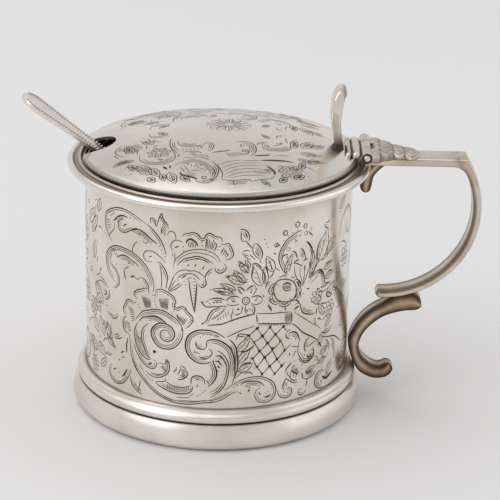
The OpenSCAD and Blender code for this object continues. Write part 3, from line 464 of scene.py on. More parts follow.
rose = [
    cut(0.42, 14.55, 41.6, 15.35, 42.3, 16.6, 42.4, 17.95, 42.15, 19.1, 41.6, 20, 40.7, 20.45, 39.7, 20.55, 38.55,
        20.2, 37.4, 19.55, 36.6, 18.4, 36.4, 16.8, 36.6, 15.7, 37.05, 14.9, 37.85, 14.45, 38.9, 14.2, 39.9, 14.3,
        40.8, 14.55, 41.6), cut(0.6, 16.6, 41.05, 17.5, 41.3, 18.4, 41.05, 19, 40.5),
    cut(0.4, 16.6, 40.8, 16.8, 40, 17.5, 39.35, 18.4, 39.25, 19.1, 39.55),
    *hatch(7, (16.9, 41), (18.8, 40.6), (17, 39.9), (18.8, 39.5)),
    cut(main, 20.7, 41.05, 21.35, 39.9, 21.95, 38.8, 22.05, 37.85), cut(0.5, 19, 42.4, 20, 42.3),
    cut(main, 15.55, 43, 16.5, 43.3, 17.4, 43.2, 17.3, 42.65),
    cut(0.42, 12.15, 40.7, 12.3, 41.6, 12.95, 42.2, 13.5, 42.25), cut(0.5, 11.6, 39.1, 11.85, 38.5),
    cut(0.55, 13.05, 37.3, 13.85, 37.8), cut(0.5, 13.75, 39.35, 14.2, 39.1),
    cut(0.65, 12.75, 36.5, 13.4, 35.7, 13.8, 34.7), cut(0.55, 17.4, 35.25, 17.6, 34.2),
    cut(0.5, 18.65, 36.4, 19.3, 36.5), cut(0.55, 20.1, 36.5, 20.9, 36.15, 21.35, 35.5, 21.7, 34.9),
    cut(0.6, 20, 33.9, 20.7, 34.35, 21.6, 34.65),
    cut(0.5, 21.8, 35.15, 22.05, 34, 22.4, 33.1, 23.2, 32.3, 24.55, 31.75, 25.9, 31.4, 26.9, 31.5),
    cut(0.5, 21.8, 38.3, 21.8, 37.2), cut(main, 21.6, 36.7, 22.4, 37.4), *dots(0.5, 22.8, 37.5),
]
small_blooms = [
    *dots(0.5, 25.1, 35.7, 25.45, 34.8, 26.15, 34.2), cut(0.55, 23.65, 38.55, 24.65, 38.3),
    cut(0.5, 27.45, 37.85, 27.55, 36.95), cut(0.36, 27.8, 35.95, 28.6, 35.25, 28.8, 34.45),
    cut(0.5, 26.9, 33.65, 27.9, 33.55, 28.6, 33.9), cut(0.42, 24.1, 41.05, 25.65, 42.4, 27.1, 44),
    cut(0.48, 25.2, 40.95, 26.1, 41.75, 27.25, 42.3, 28.15, 42.35, 28.95, 41.95, 29.6, 41.05, 29.95, 39.9, 30.2,
        38.75, 30.5, 38.2), cut(fine, 24.95, 39.45, 26.55, 40.5, 27.9, 40.8),
    cut(0.45, 27.85, 44.65, 26.8, 43.95, 25.9, 43.15), cut(0.45, 28.8, 33.45, 29.95, 33, 31.55, 32.75),
    cut(0.45, 31, 35.25, 31.8, 35.5, 32.7, 34.9, 33.6, 34.35, 32.35, 34, 31.45, 34.45, 31, 35.25),
    cut(0.42, 33.8, 36.05, 34.95, 35.6, 36.3, 34.9, 35.4, 34.8, 34.3, 35.25), cut(0.5, 27.35, 32.65, 27.45, 30.8),
    cut(0.42, 26.9, 30.35, 26.9, 29, 27.35, 28.3), cut(0.5, 27.7, 29.8, 28.6, 29.45, 29.15, 29),
    cut(0.36, 29.5, 28.8, 30.85, 29.1, 32.35, 29.7), cut(main, 32.9, 31.4, 33.7, 31.25),
    cut(0.45, 36.9, 30.15, 37.1, 29.45), cut(0.45, 30.4, 42.85, 31.75, 43.2, 33, 43.45),
    cut(0.45, 31.45, 40.7, 32.45, 41, 33.25, 40.8), cut(0.45, 28.6, 37.5, 29.95, 37.4, 31.55, 37.85, 32.7, 38.05),
    cut(main, 27.9, 36.7, 29.5, 36.25, 31.55, 36.5),
    cut(0.42, 29.05, 50.75, 28.35, 50.1, 27.55, 49.2, 27.1, 48.05, 27, 46.7, 27.1, 45.55, 28, 44.75),
    cut(0.36, 33.15, 48.05, 32.7, 46.7, 31.75, 45.75, 30.65, 45.1, 29.5, 44.75, 28.5, 44.65),
    *dots(0.45, 29.4, 49.3, 28.95, 48.4, 30.4, 49.05, 31.1, 50.1, 32, 49.5, 31.75, 48.55, 30.05, 51.2, 31.9, 51.55,
        33.15, 49.85), cut(0.42, 29.25, 53.6, 29.6, 52.95, 30.4, 52.35, 31.1, 52.15),
    cut(0.36, 29.75, 53.75, 30.65, 53.75, 31.75, 54.2), cut(main, 36.1, 54.85, 37, 54.4),
]
rails = [
    cut(0.5, 1.85, 32.3, 4, 33.15, 5.8, 33.75, 7.75, 34.2, 9.7, 34.55),
    cut(0.4, 2.85, 28.9, 4.7, 29.8, 6.7, 30.6, 9.7, 31.5), cut(0.42, 10, 34.3, 10.25, 32.2),
    cut(0.36, 10, 34.55, 12.3, 34.35, 14.3, 34.05, 16.15, 34, 17.95, 33.75, 19.3, 33.55),
    cut(0.5, 15.35, 34, 16.6, 34), cut(0.5, 19.3, 33.55, 19.45, 32.2, 19.35, 30.8),
    cut(0.5, 10.35, 32, 12.5, 31.7, 15, 31.25, 17.5, 30.95, 19.1, 30.6),
    *hatch(6, (17.6, 33.6), (19.1, 33.4), (17.6, 31.1), (19, 30.8)),
    *hatch(14, (10.6, 31.9), (18.8, 30.6), (10.8, 31.3), (18.8, 30.1)),
    *dots(0.5, 20.4, 33.1, 21.35, 32.4, 22.1, 31.8, 22.9, 31.2, 23.8, 30.55, 24.7, 29.9, 25.6, 29.2, 26.5, 28.6, 27.4,
        28),
    cut(0.25, 20.1, 33.3, 21.35, 32.4, 22.75, 31.3, 24.1, 30.35, 25.7, 29.1, 27.05, 28.3, 28.6, 27.2, 29.3, 26.3),
    cut(0.5, 19.1, 30.6, 20.2, 30, 21.35, 29, 22.7, 27.6, 24.1, 26.6, 25.45, 25.8, 26.8, 24.9, 27.95, 24.1, 28.4,
        23.6), cut(0.45, 29.4, 25.7, 30.2, 25.2, 31.75, 24.8, 32.9, 25.1, 34.05, 26.15),
    cut(0.45, 29.05, 24.9, 29.95, 24.3, 31.55, 23.75, 33.15, 23.3, 34.7, 22.95, 36.55, 22.05, 38.35, 20.7, 39.95,
        19.65),
]
trellis = [
    cut(0.32, 8.2, 29, 10.25, 30.8), cut(0.32, 9.55, 27.2, 11.6, 28.6, 13.5, 30.6),
    cut(0.36, 11.05, 24.75, 13, 26.55, 15, 28.5, 17.1, 30.2), cut(0.32, 9.2, 22.9, 11.05, 24.75),
    cut(0.36, 10.4, 20.7, 12.3, 22.9, 14.2, 24.5, 16.45, 26.4),
    cut(0.36, 11.8, 18.65, 13.65, 20.45, 15.65, 22, 17.7, 23.85, 19.5, 25.3),
    cut(0.32, 15.05, 18.2, 16.95, 20, 18.2, 21),
    cut(0.32, 10.25, 30.8, 11.6, 28.6, 13, 26.55, 14.2, 24.7, 15.65, 22, 16.95, 20),
    cut(0.32, 8.2, 29, 9.55, 27.2, 11.05, 24.75, 12.3, 22.9, 13.65, 20.45, 15.05, 18.2),
    cut(0.32, 13.5, 30.6, 15, 28.5, 16.45, 26.6, 17.7, 23.95), cut(0.32, 17.1, 30.2, 18.2, 28.8),
    cut(0.32, 9.2, 23.1, 10.4, 20.7, 11.8, 18.65),
    *dots(0.9, 10.25, 30.8, 13.5, 30.6, 17.1, 30.2, 8.2, 29, 11.6, 28.6, 15, 28.5, 9.55, 27.2, 13, 26.55, 16.45,
        26.6, 11.05, 24.75, 14.2, 25, 17.7, 23.95, 9.2, 23.1, 12.3, 22.95, 15.65, 22, 10.4, 20.7, 13.65, 20.45, 16.95,
        20, 11.8, 18.65, 15.05, 18.2), cut(0.5, 6.4, 24.55, 6.75, 25, 7.65, 25.1, 8.9, 25.8, 9.7, 26.6),
    cut(0.5, 6.15, 20.8, 6.75, 21.5, 7.65, 21.95, 9, 22.05), cut(0.4, 7.4, 22.75, 7.65, 23.4),
    cut(0.42, 7.65, 26.15, 8.1, 26.8), cut(0.45, 7.05, 28.1, 7.85, 28.8),
    cut(0.36, 5.8, 29.5, 5.9, 29.05, 7.1, 28.95), cut(main, 7.3, 19.3, 8.55, 19.55, 9.45, 18.85),
    cut(fine, 5, 18.2, 7.2, 20),
]
right_scrolls = [
    cut(0.5, 17.85, 28.3, 17.95, 27.4, 18.5, 26.85, 19.1, 26.6),
    cut(0.55, 18.85, 27.65, 18.75, 28.1, 19.55, 28.3, 20.45, 28.1, 21.35, 27.2, 21.8, 26.15, 22, 25.45),
    cut(main, 17.85, 28.3, 18.4, 28.8, 19.3, 29.1), cut(main, 19.55, 24.45, 20.9, 24.2, 21.95, 23.85),
    cut(0.5, 19.1, 22.95, 19.1, 22.15), cut(0.5, 20.35, 21.8, 20.45, 22.6, 21.15, 23.05),
    *dots(0.5, 20.7, 20.45, 19.55, 20.2, 22.95, 18.85, 22.95, 17.85, 18.3, 17.6),
    cut(0.45, 18.05, 18.75, 18.65, 19.3, 19.75, 20.2), cut(0.45, 19.75, 18.75, 20.35, 19.2, 20.9, 19.3),
    cut(0.6, 19.55, 18.4, 20.2, 17.7, 20.9, 17.25, 21.7, 16.9, 21.95, 17.5),
    cut(0.42, 18.65, 17.25, 19.3, 16.7, 19.75, 15.9, 20.45, 15.45, 21.7, 15.2),
    *hatch(5, (20, 19), (21.8, 18.6), (20, 17.8), (21.6, 17.1)),
    cut(0.5, 22.7, 16.7, 23.2, 16.15, 23.3, 15.35, 23.65, 15),
    cut(0.65, 24.2, 16.95, 24.75, 16.25, 25.7, 16.35, 26.35, 16.95),
    cut(0.45, 23.65, 15, 24.75, 14.65, 25.7, 14.8, 27.05, 15.2, 27.6, 15.9, 27.5, 16.35),
    cut(0.5, 25.2, 25.45, 24.3, 25.1, 23.7, 24.3, 23.55, 23.3, 23.7, 22.5, 24.15, 22.1),
    cut(0.42, 24.55, 23.2, 25.45, 23.4, 26.45, 23.85, 27.5, 24),
    cut(0.48, 25.9, 22.15, 26.65, 21.7, 26.95, 20.9, 26.65, 20.1, 25.85, 19.55, 24.7, 19.1, 23.4, 19.4, 22.4, 20.1,
        21.8, 20.9), cut(0.5, 24.55, 21.35, 24.5, 20.75, 25.1, 20.45, 25.7, 20.7, 25.8, 21.15),
    cut(main, 23.35, 21.5, 23.95, 21.15), cut(0.7, 28.35, 23.2, 28.95, 22.85, 29.4, 22.15, 29.5, 21.6),
    cut(0.45, 31.2, 23.2, 32, 22.6, 32.7, 21.8, 33, 20.9, 32.9, 19.75),
    cut(0.36, 30.3, 20.45, 31.2, 20.5, 31.8, 20.7),
    cut(0.36, 29.85, 19.55, 30.4, 18.75, 31.1, 18.2, 32, 18.3, 32.7, 19.3),
    cut(0.45, 33.8, 22.6, 34.95, 21.7, 35.65, 20.45, 35.85, 18.85, 35.65, 16.6),
    cut(0.36, 27.2, 20, 28, 19.55, 28.6, 18.65, 28.7, 17.95, 27.45, 17.15), *dots(0.5, 27.35, 18.85),
    cut(0.48, 31.1, 14.55, 30.5, 15.25, 29.25, 15.45, 28.25, 15, 27.7, 14.1, 27.45, 12.95, 27.9, 11.8, 28.8, 11, 30.2,
        10.55, 31.75, 10.45), cut(0.95, 30.5, 13.65, 31.1, 12.95, 32.45, 12.5, 33.8, 12.85, 35.2, 13.4),
    cut(0.5, 29.7, 12.6, 30.4, 12.05), *dots(0.4, 29.05, 13.4),
]
foot_scroll = [
    cut(0.4, 2.65, 15.1, 3.75, 16, 4.9, 16.8, 6.25, 17.5, 7.65, 17.95, 9, 18.2, 10.8, 18.2, 12.7, 17.6, 14.1, 16.7,
        15, 15.7, 15.45, 14.3, 15.35, 12.95, 14.65, 11.8, 13.65, 11.25, 12.5, 11.15, 11.15, 11.5, 10.35, 12.3, 10,
        13.4, 10.4, 14.6, 11.25, 15.1),
    cut(0.5, 6.4, 16.35, 7.2, 16.95, 8.55, 17.15, 9.9, 17.05, 11.15, 16.7, 11.95, 16, 12.4, 15.35),
    *dots(0.45, 4.9, 15.7, 5.7, 16.25, 14.1, 15.45, 14.45, 14.65, 13.3, 13.85, 12.75, 13.5),
    cut(main, 7.65, 15.9, 8.55, 15.7, 8.75, 15), cut(0.75, 8.6, 15, 8.4, 14.4),
    cut(0.65, 12.4, 12.6, 13.2, 12.5, 14.2, 13.05), cut(0.5, 11.15, 14, 11.4, 13.2),
    cut(0.5, 18.5, 16.5, 17.85, 15.9, 17.5, 15, 17.4, 14.1, 17.6, 13.4),
    cut(0.42, 16, 13.85, 16.15, 12.75, 16.8, 11.8, 17.95, 11.3, 19.1, 11.35, 19.9, 12.05, 20, 12.95, 19.55, 13.65,
        18.65, 13.75, 18.05, 13.2), *dots(0.45, 18.75, 12.6, 17.85, 12.95),
    cut(0.5, 24.7, 14.5, 24.8, 13.65, 24.3, 12.7),
    cut(0.42, 24.55, 12.05, 23.85, 11.15, 23.05, 10.85, 22.25, 11.25, 22, 11.95, 22.4, 12.5, 23.2, 12.5),
]
left_sprays = [
    cut(main, -36.8, 34.2, -36, 35.2, -35, 36, -33.6, 36.6, -32.4, 36.6, -31.4, 36.2, -31.1, 35.7),
    cut(main, -35.2, 35.2, -34.2, 35.4), cut(main, -34, 37.6, -32.2, 37.3, -30.9, 36.5, -30, 35.7),
    cut(0.42, -29.6, 35.6, -29.4, 34.6, -29.4, 34, -29.9, 33.2, -30.8, 32.6, -31.8, 32.7),
    cut(0.5, -31.6, 34.9, -30.7, 34.8, -30.7, 34.2, -31.4, 33.7, -32, 33.5),
    cut(main, -36, 31.6, -35.2, 32.6, -34.2, 33.2), cut(0.45, -35, 30.2, -34.4, 30.9, -33.4, 31, -32.4, 30.8),
    cut(0.45, -31, 30.9, -30.4, 31.1),
    cut(0.42, -30.4, 29.6, -29, 29.2, -28, 28.6, -27.4, 28.7, -26.6, 29.3, -26.3, 30, -26.6, 30.4),
    cut(0.5, -34.4, 27.3, -33.4, 27.1), cut(main, -35.9, 40.6, -35.4, 41.4, -35.1, 42.4),
    cut(0.45, -34, 38.8, -33.4, 39.6, -33.1, 40.2), cut(main, -36, 37.2, -34.4, 38, -33.6, 38.8),
    cut(0.35, -36.3, 56.3, -35.4, 57), cut(0.35, -36.4, 54.7, -35.6, 55.2),
    cut(0.35, -37, 51.4, -36.4, 52.6, -36, 53), cut(main, -37, 48.6, -36.2, 49.6, -35.6, 50.4),
    cut(0.4, -34.6, 50.2, -33.6, 50.5, -32.8, 50.3), cut(0.35, -36, 46.4, -35.3, 46.2, -35, 45.4),
    cut(0.4, -32.4, 25, -32.3, 25.8, -31.6, 26.8), cut(0.4, -31.4, 24.8, -30.6, 25.4, -30.2, 26.2, -30.3, 27),
    cut(0.5, -30.7, 23.4, -30.1, 23.9), cut(0.35, -29, 27, -28.9, 25.4, -29.2, 24, -29.8, 22.6, -30.2, 22.2),
    cut(0.45, -27.7, 24.4, -27.2, 23.8, -26.2, 23.8, -25.4, 24.2, -24.6, 24.7),
    cut(main, -27.7, 24.4, -26.6, 24.9, -25.4, 24.7), cut(0.6, -28.3, 22.1, -27.8, 21.6, -27, 21),
    cut(0.4, -32.4, 20.8, -31.9, 21.8, -31, 22.3, -30, 22.5), cut(0.4, -34.6, 21.2, -33.8, 21.9),
    cut(0.4, -34.2, 20.6, -33.7, 20.2, -33.2, 20.3),
    cut(0.4, -31.6, 18.6, -30.8, 18.3, -30, 18.4, -29, 18.5, -28.6, 19.2),
    cut(0.35, -37, 17, -36.2, 17.4, -35.4, 17.5), cut(0.35, -36, 18.5, -35.4, 18.7),
    cut(main, -33.6, 19.4, -32.6, 19.8),
    cut(0.42, -28.4, 16.3, -29.2, 15.8, -29.6, 14.8, -29.5, 13.6, -28.9, 12.8, -28, 12.2, -26.8, 11.9, -25.4, 12.2,
        -24.2, 12.8, -23.2, 14, -22.4, 15.2, -21.9, 16.4, -21.9, 17.2), cut(0.45, -28, 15, -27.6, 15.5, -26.8, 15.6),
    cut(0.65, -24.8, 14.2, -24, 15, -23.4, 16, -23, 16.8), *dots(0.4, -27.6, 13.2, -27, 13.8, -26, 14.8),
    cut(0.5, -26, 18.2, -25.6, 18.6), cut(0.55, -25.1, 20.2, -24.6, 20.9, -24, 21.1),
    cut(main, -25, 19.4, -23.8, 19.6), cut(0.55, -22.8, 25, -23.1, 23.6, -23.2, 22.2, -23, 21),
    cut(0.45, -22, 15.2, -21.6, 13.8, -20.8, 12.6, -19.6, 11.8, -18.6, 11.5, -18.2, 11.6),
    cut(main, -18.9, 15.2, -19, 14, -19.3, 12.8, -19.2, 12),
]
side_sprays = [
    cut(0.4, -50.4, 20, -49, 27, -46.8, 36, -48.2, 46, -50.6, 55), *flower(-45.2, 47.4, 3.4, 7),
    ring(main, -41, 54.6, 0.5), *flower(-43.2, 30.6, 2.8, 6, 15), *leaf(-48, 50, -43.6, 56.4, 0.18),
    *leaf(-47.2, 38, -42, 41.4, 0.22), *leaf(-48.6, 29, -50.8, 36, 0.2), *leaf(-49.6, 24, -45, 24.6, 0.2),
    *leaf(-40.6, 49.6, -36.4, 54.4, 0.2),
    cut(0.4, -50.6, 13.6, -46, 11.6, -42, 13.4, -40.8, 17.2, -43, 20.2, -46, 19.2, -46.2, 16.8, -44.2, 16.4),
    cut(main, -48.4, 16.4, -45.8, 13.8, -43.4, 14.6), *leaf(-40.4, 20.4, -37.4, 16, 0.2),
    ring(main, -39.4, 37.6, 0.6), cut(main, -46.8, 36, -43.8, 35.2, -41.4, 33.4),
    cut(main, -47.4, 42, -44.4, 43.4, -41.6, 45.6), cut(main, -49, 27, -46.4, 27.4, -44.6, 28.6),
    *dots(0.4, -41.6, 45.8, -40.8, 46.6, -41, 33.2, -40.2, 32.6, -39.6, 27.6, -40.4, 26.8),
    cut(main, -41.6, 22.6, -40, 24.4, -38.4, 25),
    *hatch(5, (-47.6, 15.2), (-43.2, 17.6), (-47.2, 13.6), (-42.2, 15.4)), *leaf(38.2, 29.4, 43.4, 35.6, 0.2),
    *leaf(38, 24.4, 43.6, 26.2, 0.2), *flower(40.4, 42, 2.6, 6),
    cut(0.4, 36.2, 48.4, 38.4, 53, 42.4, 54.6, 45.6, 52, 45.4, 48.4, 42.6, 47.4, 41, 49.4, 42.4, 51),
    cut(main, 37.6, 46.6, 40, 46, 42.6, 44.4), *leaf(36.2, 55.4, 39.6, 58.2, 0.22),
    *leaf(36.8, 36.2, 36.4, 42.4, 0.18),
    cut(0.4, 37, 15.4, 40.4, 12, 44.6, 12.6, 46.4, 16.2, 44.2, 19.4, 41, 18.8, 40.8, 16.4, 42.8, 15.6),
    *hatch(5, (38.2, 15.6), (43.4, 18.2), (39.6, 13.6), (45, 16.6)),
    cut(main, 43.6, 35.8, 46.4, 39.4, 48.2, 44, 48.4, 50), *leaf(46.4, 39.4, 50.6, 42, 0.2),
    *leaf(43.8, 26.4, 49.6, 30.4, 0.18), *dots(0.4, 47.6, 34.6, 48.6, 35.4, 49.4, 36.6),
]
bouquet_leaves = [
    *leaf(14.2, 44.6, 12.2, 49, 0.22), *leaf(11.2, 41.4, 9, 47.4, 0.24), *leaf(12.2, 41.6, 11.8, 46.4, 0.16),
    *leaf(8, 45, 5.4, 47.8, 0.2), *leaf(8.2, 46.4, 7, 48.4, 0.24, 3), *leaf(7, 42.4, 2.4, 44.6, 0.18),
    *leaf(7.2, 42.6, 4.2, 46, 0.16), *leaf(4.6, 40, -0.8, 41.2, 0.14), *leaf(5, 40.8, 1.2, 42.6, 0.16),
    *dots(0.5, 14.6, 51, 14.4, 49.2), cut(main, 16.2, 48, 17, 48.5, 17.8, 48.4), cut(main, 17.6, 46.2, 17.9, 47.6),
    *leaf(17.2, 43.6, 19, 48.6, 0.14), cut(0.4, 23.2, 50.6, 24.8, 49.2, 25.4, 47.2, 25, 45.2, 24.4, 43.6),
    *leaf(27.4, 44.4, 31, 52, 0.24), *leaf(24.6, 41, 26.8, 46.6, 0.14), *leaf(30.2, 45.6, 34.6, 49.4, 0.2),
    cut(0.4, 24.6, 40.2, 26, 41.8, 28, 42.2, 29.6, 40.6, 30.2, 38.2), *leaf(29.6, 42, 33.4, 43.2, 0.2),
    *leaf(30, 39.6, 33.8, 40.4, 0.2), cut(main, 28.6, 37.6, 30.4, 38.2, 32.6, 37.6), *leaf(31, 34.6, 34.8, 37.6, 0.22),
    *flower(32.6, 31, 2.2, 6), *leaf(30.4, 30, 28, 33.4, 0.2), *flower(27.4, 35.6, 2, 6, 20),
]
# The rose's five outer petals, each a bowed line about the same middle, and the same ones again a little smaller.
petal_turn = np.radians(np.array([160, 215, 270, 325, 20])[:, None] + [-27, -20, 0, 20, 27])
petals = np.stack([17.4 + np.array([3.3, 4.3, 4.6, 4.3, 3.3]) * np.cos(petal_turn),
                   39.3 + np.array([2.9, 3.7, 4.0, 3.7, 2.9]) * np.sin(petal_turn)], -1)
rose_petals = [(0.38, line) for line in petals] + [(fine, 0.82 * line + [3.13, 7.07]) for line in petals]
scroll_leaves = [
    cut(0.4, 5.2, 28.2, 5.8, 29.6, 7.6, 29.4, 8.6, 29.2), *leaf(5.6, 22, 8.6, 25.6, 0.2),
    *leaf(5.4, 25, 8.6, 28.4, 0.2),
    *leaf(5.8, 19.8, 9.4, 21.8, 0.22), cut(0.4, 21.8, 25.6, 21.6, 22.4, 23.2, 20, 25.6, 19.6, 26.8, 21.4, 26.4, 22.8),
    cut(0.4, 17.8, 18, 18.8, 19.6, 19.8, 20.2), cut(0.4, 18, 16.6, 19.2, 15.6, 20.4, 14.8, 21.8, 14.6),
    *hatch(4, (18.6, 18.4), (21.4, 17.4), (18.8, 16.8), (21, 15.6)), *leaf(24.2, 16, 27.4, 17.6, 0.24),
    *leaf(28, 22.6, 31, 25.6, 0.22), *leaf(29, 20, 32.6, 21, 0.2), *leaf(30.8, 26.4, 33.6, 29, 0.2),
    *leaf(28.6, 17.6, 31.6, 18.6, 0.2), *leaf(32, 13.6, 34.6, 17, 0.2), *leaf(-37.4, 41, -36.6, 46.4, 0.2),
    *leaf(-36.6, 35.4, -32, 31.4, 0.22), *leaf(-36.6, 31.4, -33.4, 28, 0.25), *leaf(-34, 27.2, -31.6, 22.6, 0.25),
    *leaf(-38, 26, -34.6, 22.4, 0.25), *leaf(-31, 26.8, -28.4, 22.4, 0.2), *leaf(-30.6, 23.4, -27.4, 21, 0.2),
    *leaf(-39.4, 20, -35, 17.6, 0.25), *leaf(-35, 20, -31, 17.4, 0.25), *flower(-37.6, 28.6, 2.4, 6),
    *flower(-37, 13.6, 2.2, 6, 10), *leaf(-33.6, 14, -30.6, 17.2, 0.2), *leaf(-38.6, 47.6, -35, 53, 0.18),
    *leaf(-34.8, 54, -33.2, 58, 0.22),
]
bold_trellis = [(1.2 * w, p) for w, p in trellis]
front = (upper_leaf + flame_leaf + upper_shell + middle_leaf + ruffle_shell + left_spiral + inner_curls
         + right_volute + leaf_pair + daisy + buds + fern_and_tulip + rose + small_blooms + rails + bold_trellis
         + right_scrolls + foot_scroll + left_sprays + side_sprays + bouquet_leaves + rose_petals + scroll_leaves)
half_round = np.pi * drum_r / 2


def headings(line):
    """A line's direction at each of its points: the difference of the neighbours, made one long."""
    way = np.gradient(line, axis=0)
    return way / (np.linalg.norm(way, axis=1)[:, None] + 1e-9)


def hairlines(cuts, gap, least=0.36):
    """The engraver's second line: beside each bold and clearly bent cut a fine one, moved towards the inside of the
    bend by the gap. The bend is the summed cross product of neighbouring directions."""
    made = []
    for width, p in cuts:
        way = headings(p)
        bend = (way[:-1, 0] * way[1:, 1] - way[:-1, 1] * way[1:, 0]).sum()
        if width >= least and len(p) > 3 and abs(bend) > 0.5 and not np.allclose(p[0], p[-1]):
            made.append((fine, (p + gap * np.sign(bend) * np.stack([-way[:, 1], way[:, 0]], -1))[1:-1]))
    return made


# The lines are drawn as wide as they look, with their tarnish; the cuts themselves are narrower.
front = front + hairlines(front, 0.52) + hairlines(front, 0.95, 0.45)
front_cuts = [(0.78 * w, p) for w, p in front]
drum_cuts = front_cuts + [(w, p * [-1, 1] - [2 * half_round, 0]) for w, p in front_cuts]


def run_along(line):
    """The length of a line from its start to each of its points: the running sum of its steps."""
    return np.r_[0, np.cumsum(np.linalg.norm(np.diff(line, axis=0), axis=1))]


def spline(points, step):
    """Evenly spaced points of a Catmull-Rom curve: each span is the cubic through its two ends whose slopes are half
    the chord between the neighbours."""
    p = np.asarray(points, float)
    p = np.vstack([2 * p[0] - p[1], p, 2 * p[-1] - p[-2]])
    t = np.linspace(0, 1, 16, endpoint=False)[None, :, None]
    a, b, c, d = (p[i:len(p) - 3 + i, None] for i in range(4))
    curve = 0.5 * (2 * b + (c - a) * t + (2 * a - 5 * b + 4 * c - d) * t ** 2 + (3 * b - a - 3 * c + d) * t ** 3)
    curve = np.vstack([curve.reshape(-1, p.shape[1]), p[-2:-1]])
    run = run_along(curve)
    spots = np.linspace(0, run[-1], max(3, int(round(run[-1] / step)) + 1))
    return np.stack([np.interp(spots, run, column) for column in curve.T], -1)


def loop_sides(count):
    """The sides of a closed loop of points: each number with the next one."""
    return np.stack([np.arange(count), np.roll(np.arange(count), -1)], -1)


def triangulate(points, sides):
    """A constrained Delaunay triangulation of flat points within their border that keeps the given sides."""
    made = delaunay_2d_cdt(points.tolist(), sides.tolist(), [], 1, 1e-5, False)
    return np.array(made[0]), np.array(made[2])


def engrave(cuts, border, ground):
    """A flat sheet with V cuts. Each cut is a spline with a left lip, a floor and a right lip; it swells from its ends
    to its middle and is deepest on its floor. A constrained Delaunay triangulation joins the lips and floors to the
    border and an even ground of points. Depths come from a fine map: in every cell the greatest, over the cuts, of
    slope times (half width less the distance to the floor). Returns points, triangles, depths, and which are cut."""
    pixel, margin, lip_step, map_step, slope, shallow = 0.05, 2, 0.5, 0.08, 0.8, 0.01
    low = border.min(0) - margin
    cells = np.zeros(np.ceil((border.max(0) + margin - low) / pixel).astype(int), np.float32)
    sheet, sides, count = [border, ground], [loop_sides(len(border))], len(border) + len(ground)
    floors, halves = [], []
    for width, knots in cuts:
        line = spline(knots, lip_step)
        t = np.linspace(0, 1, len(line))
        closed = np.allclose(knots[0], knots[-1])
        half = width / 2 * (np.ones_like(t) if closed else 0.35 + 0.65 * np.sin(np.pi * t) ** 0.5)
        way = headings(line)
        off = np.stack([-way[:, 1], way[:, 0]], -1) * half[:, None]
        sheet += [line + off, line, line - off]
        row = np.arange(len(line) - 1) + count
        sides += [np.stack([row + k * len(line), row + k * len(line) + 1], -1) for k in range(3)]
        count += 3 * len(line)
        floors.append(spline(knots, map_step))
        halves.append(np.interp(np.linspace(0, 1, len(floors[-1])), t, half))
    floors, halves = np.vstack(floors), np.concatenate(halves)
    at = np.floor((floors - low) / pixel).astype(int)
    reach = int(np.ceil(halves.max() / pixel))
    for i in range(-reach, reach + 1):
        for j in range(-reach, reach + 1):
            spot = at + [i, j]
            deep = slope * (halves - np.linalg.norm((spot + 0.5) * pixel + low - floors, axis=1))
            near = deep > 0
            np.maximum.at(cells, (spot[near, 0], spot[near, 1]), deep[near].astype(np.float32))
    points, triangles = triangulate(np.vstack(sheet), np.vstack(sides))

    def depth(p):
        """The map read between its four nearest cells."""
        f = (p - low) / pixel - 0.5
        k = np.floor(f).astype(int)
        s, t = (f - k).T
        k = np.clip(k, 0, np.array(cells.shape) - 2).T
        return ((cells[k[0], k[1]] * (1 - s) + cells[k[0] + 1, k[1]] * s) * (1 - t)
                + (cells[k[0], k[1] + 1] * (1 - s) + cells[k[0] + 1, k[1] + 1] * s) * t)
    return points, triangles, depth(points), depth(points[triangles].mean(1)) > shallow


def split(quads):
    """Four-sided faces as triangles: corners 1, 2, 3 and corners 1, 3, 4 of each."""
    return np.vstack([quads[:, [0, 1, 2]], quads[:, [0, 2, 3]]])


def put_engraved(name, points, normals, triangles, cut_in, finish, line_finish, body, stain_and_shade):
    """Makes an engraved piece: smooth normals of the true surface on the polished faces, flat ones in the cuts."""
    mesh = start_mesh(name, points, triangles.tolist(), stain_and_shade)
    mesh.materials.append(finish)
    mesh.materials.append(line_finish)
    mesh.polygons.foreach_set("material_index", cut_in.astype(np.int32))
    corner = points[triangles]
    flat = np.cross(corner[:, 1] - corner[:, 0], corner[:, 2] - corner[:, 0])
    flat /= np.linalg.norm(flat, axis=1)[:, None] + 1e-12
    shading = np.where(cut_in[:, None, None], flat[:, None], normals[triangles])
    mesh.shade_smooth()
    mesh.normals_split_custom_set(shading.reshape(-1, 3).tolist())
    set_in(name, mesh, body, "engraved_silver")


def outward(run):
    """The drum's normal at a run along its flat sheet: the cosine and sine of run / radius, counted from the front."""
    turn = run / drum_r - np.pi / 2
    return np.stack([np.cos(turn), np.sin(turn), 0 * turn], -1)


# To the eye: a worn mirror with soft clouds; and in the cuts a dark brown line that only glints.
drum_silver = silver("sterling_silver_rolled_sheet", "#f1eae2", "#e0d5c9", "#8d7458", rough=0.15, cloud_mm=14,
                     wear_mm=2.2, wear_deep=0.004)
cut_silver = silver("sterling_silver_engraved_line_with_tarnish", "#756659", "#57493e", "#16110d", rough=0.38,
                    cloud_mm=5, wear_mm=0.8, wear_deep=0.01)
drum_cols, drum_rows, seam = 120, 18, half_round
u = np.linspace(seam - 4 * half_round, seam, drum_cols + 1)
v = np.linspace(drum_low, drum_high, drum_rows + 1)
edge = np.vstack([np.stack([u[:-1], u[:-1] * 0 + drum_low], -1), np.stack([v[:-1] * 0 + seam, v[:-1]], -1),
                  np.stack([u[:0:-1], u[:0:-1] * 0 + drum_high], -1), np.stack([v[:0:-1] * 0 + u[0], v[:0:-1]], -1)])
ground = np.stack(np.meshgrid(u[1:-1], v[1:-1]), -1).reshape(-1, 2)
flat_sheet, triangles, deep, cut_in = engrave(drum_cuts, edge, ground)
out = outward(flat_sheet[:, 0])
outer = out * (drum_r - deep)[:, None] + np.outer(flat_sheet[:, 1], [0, 0, 1])
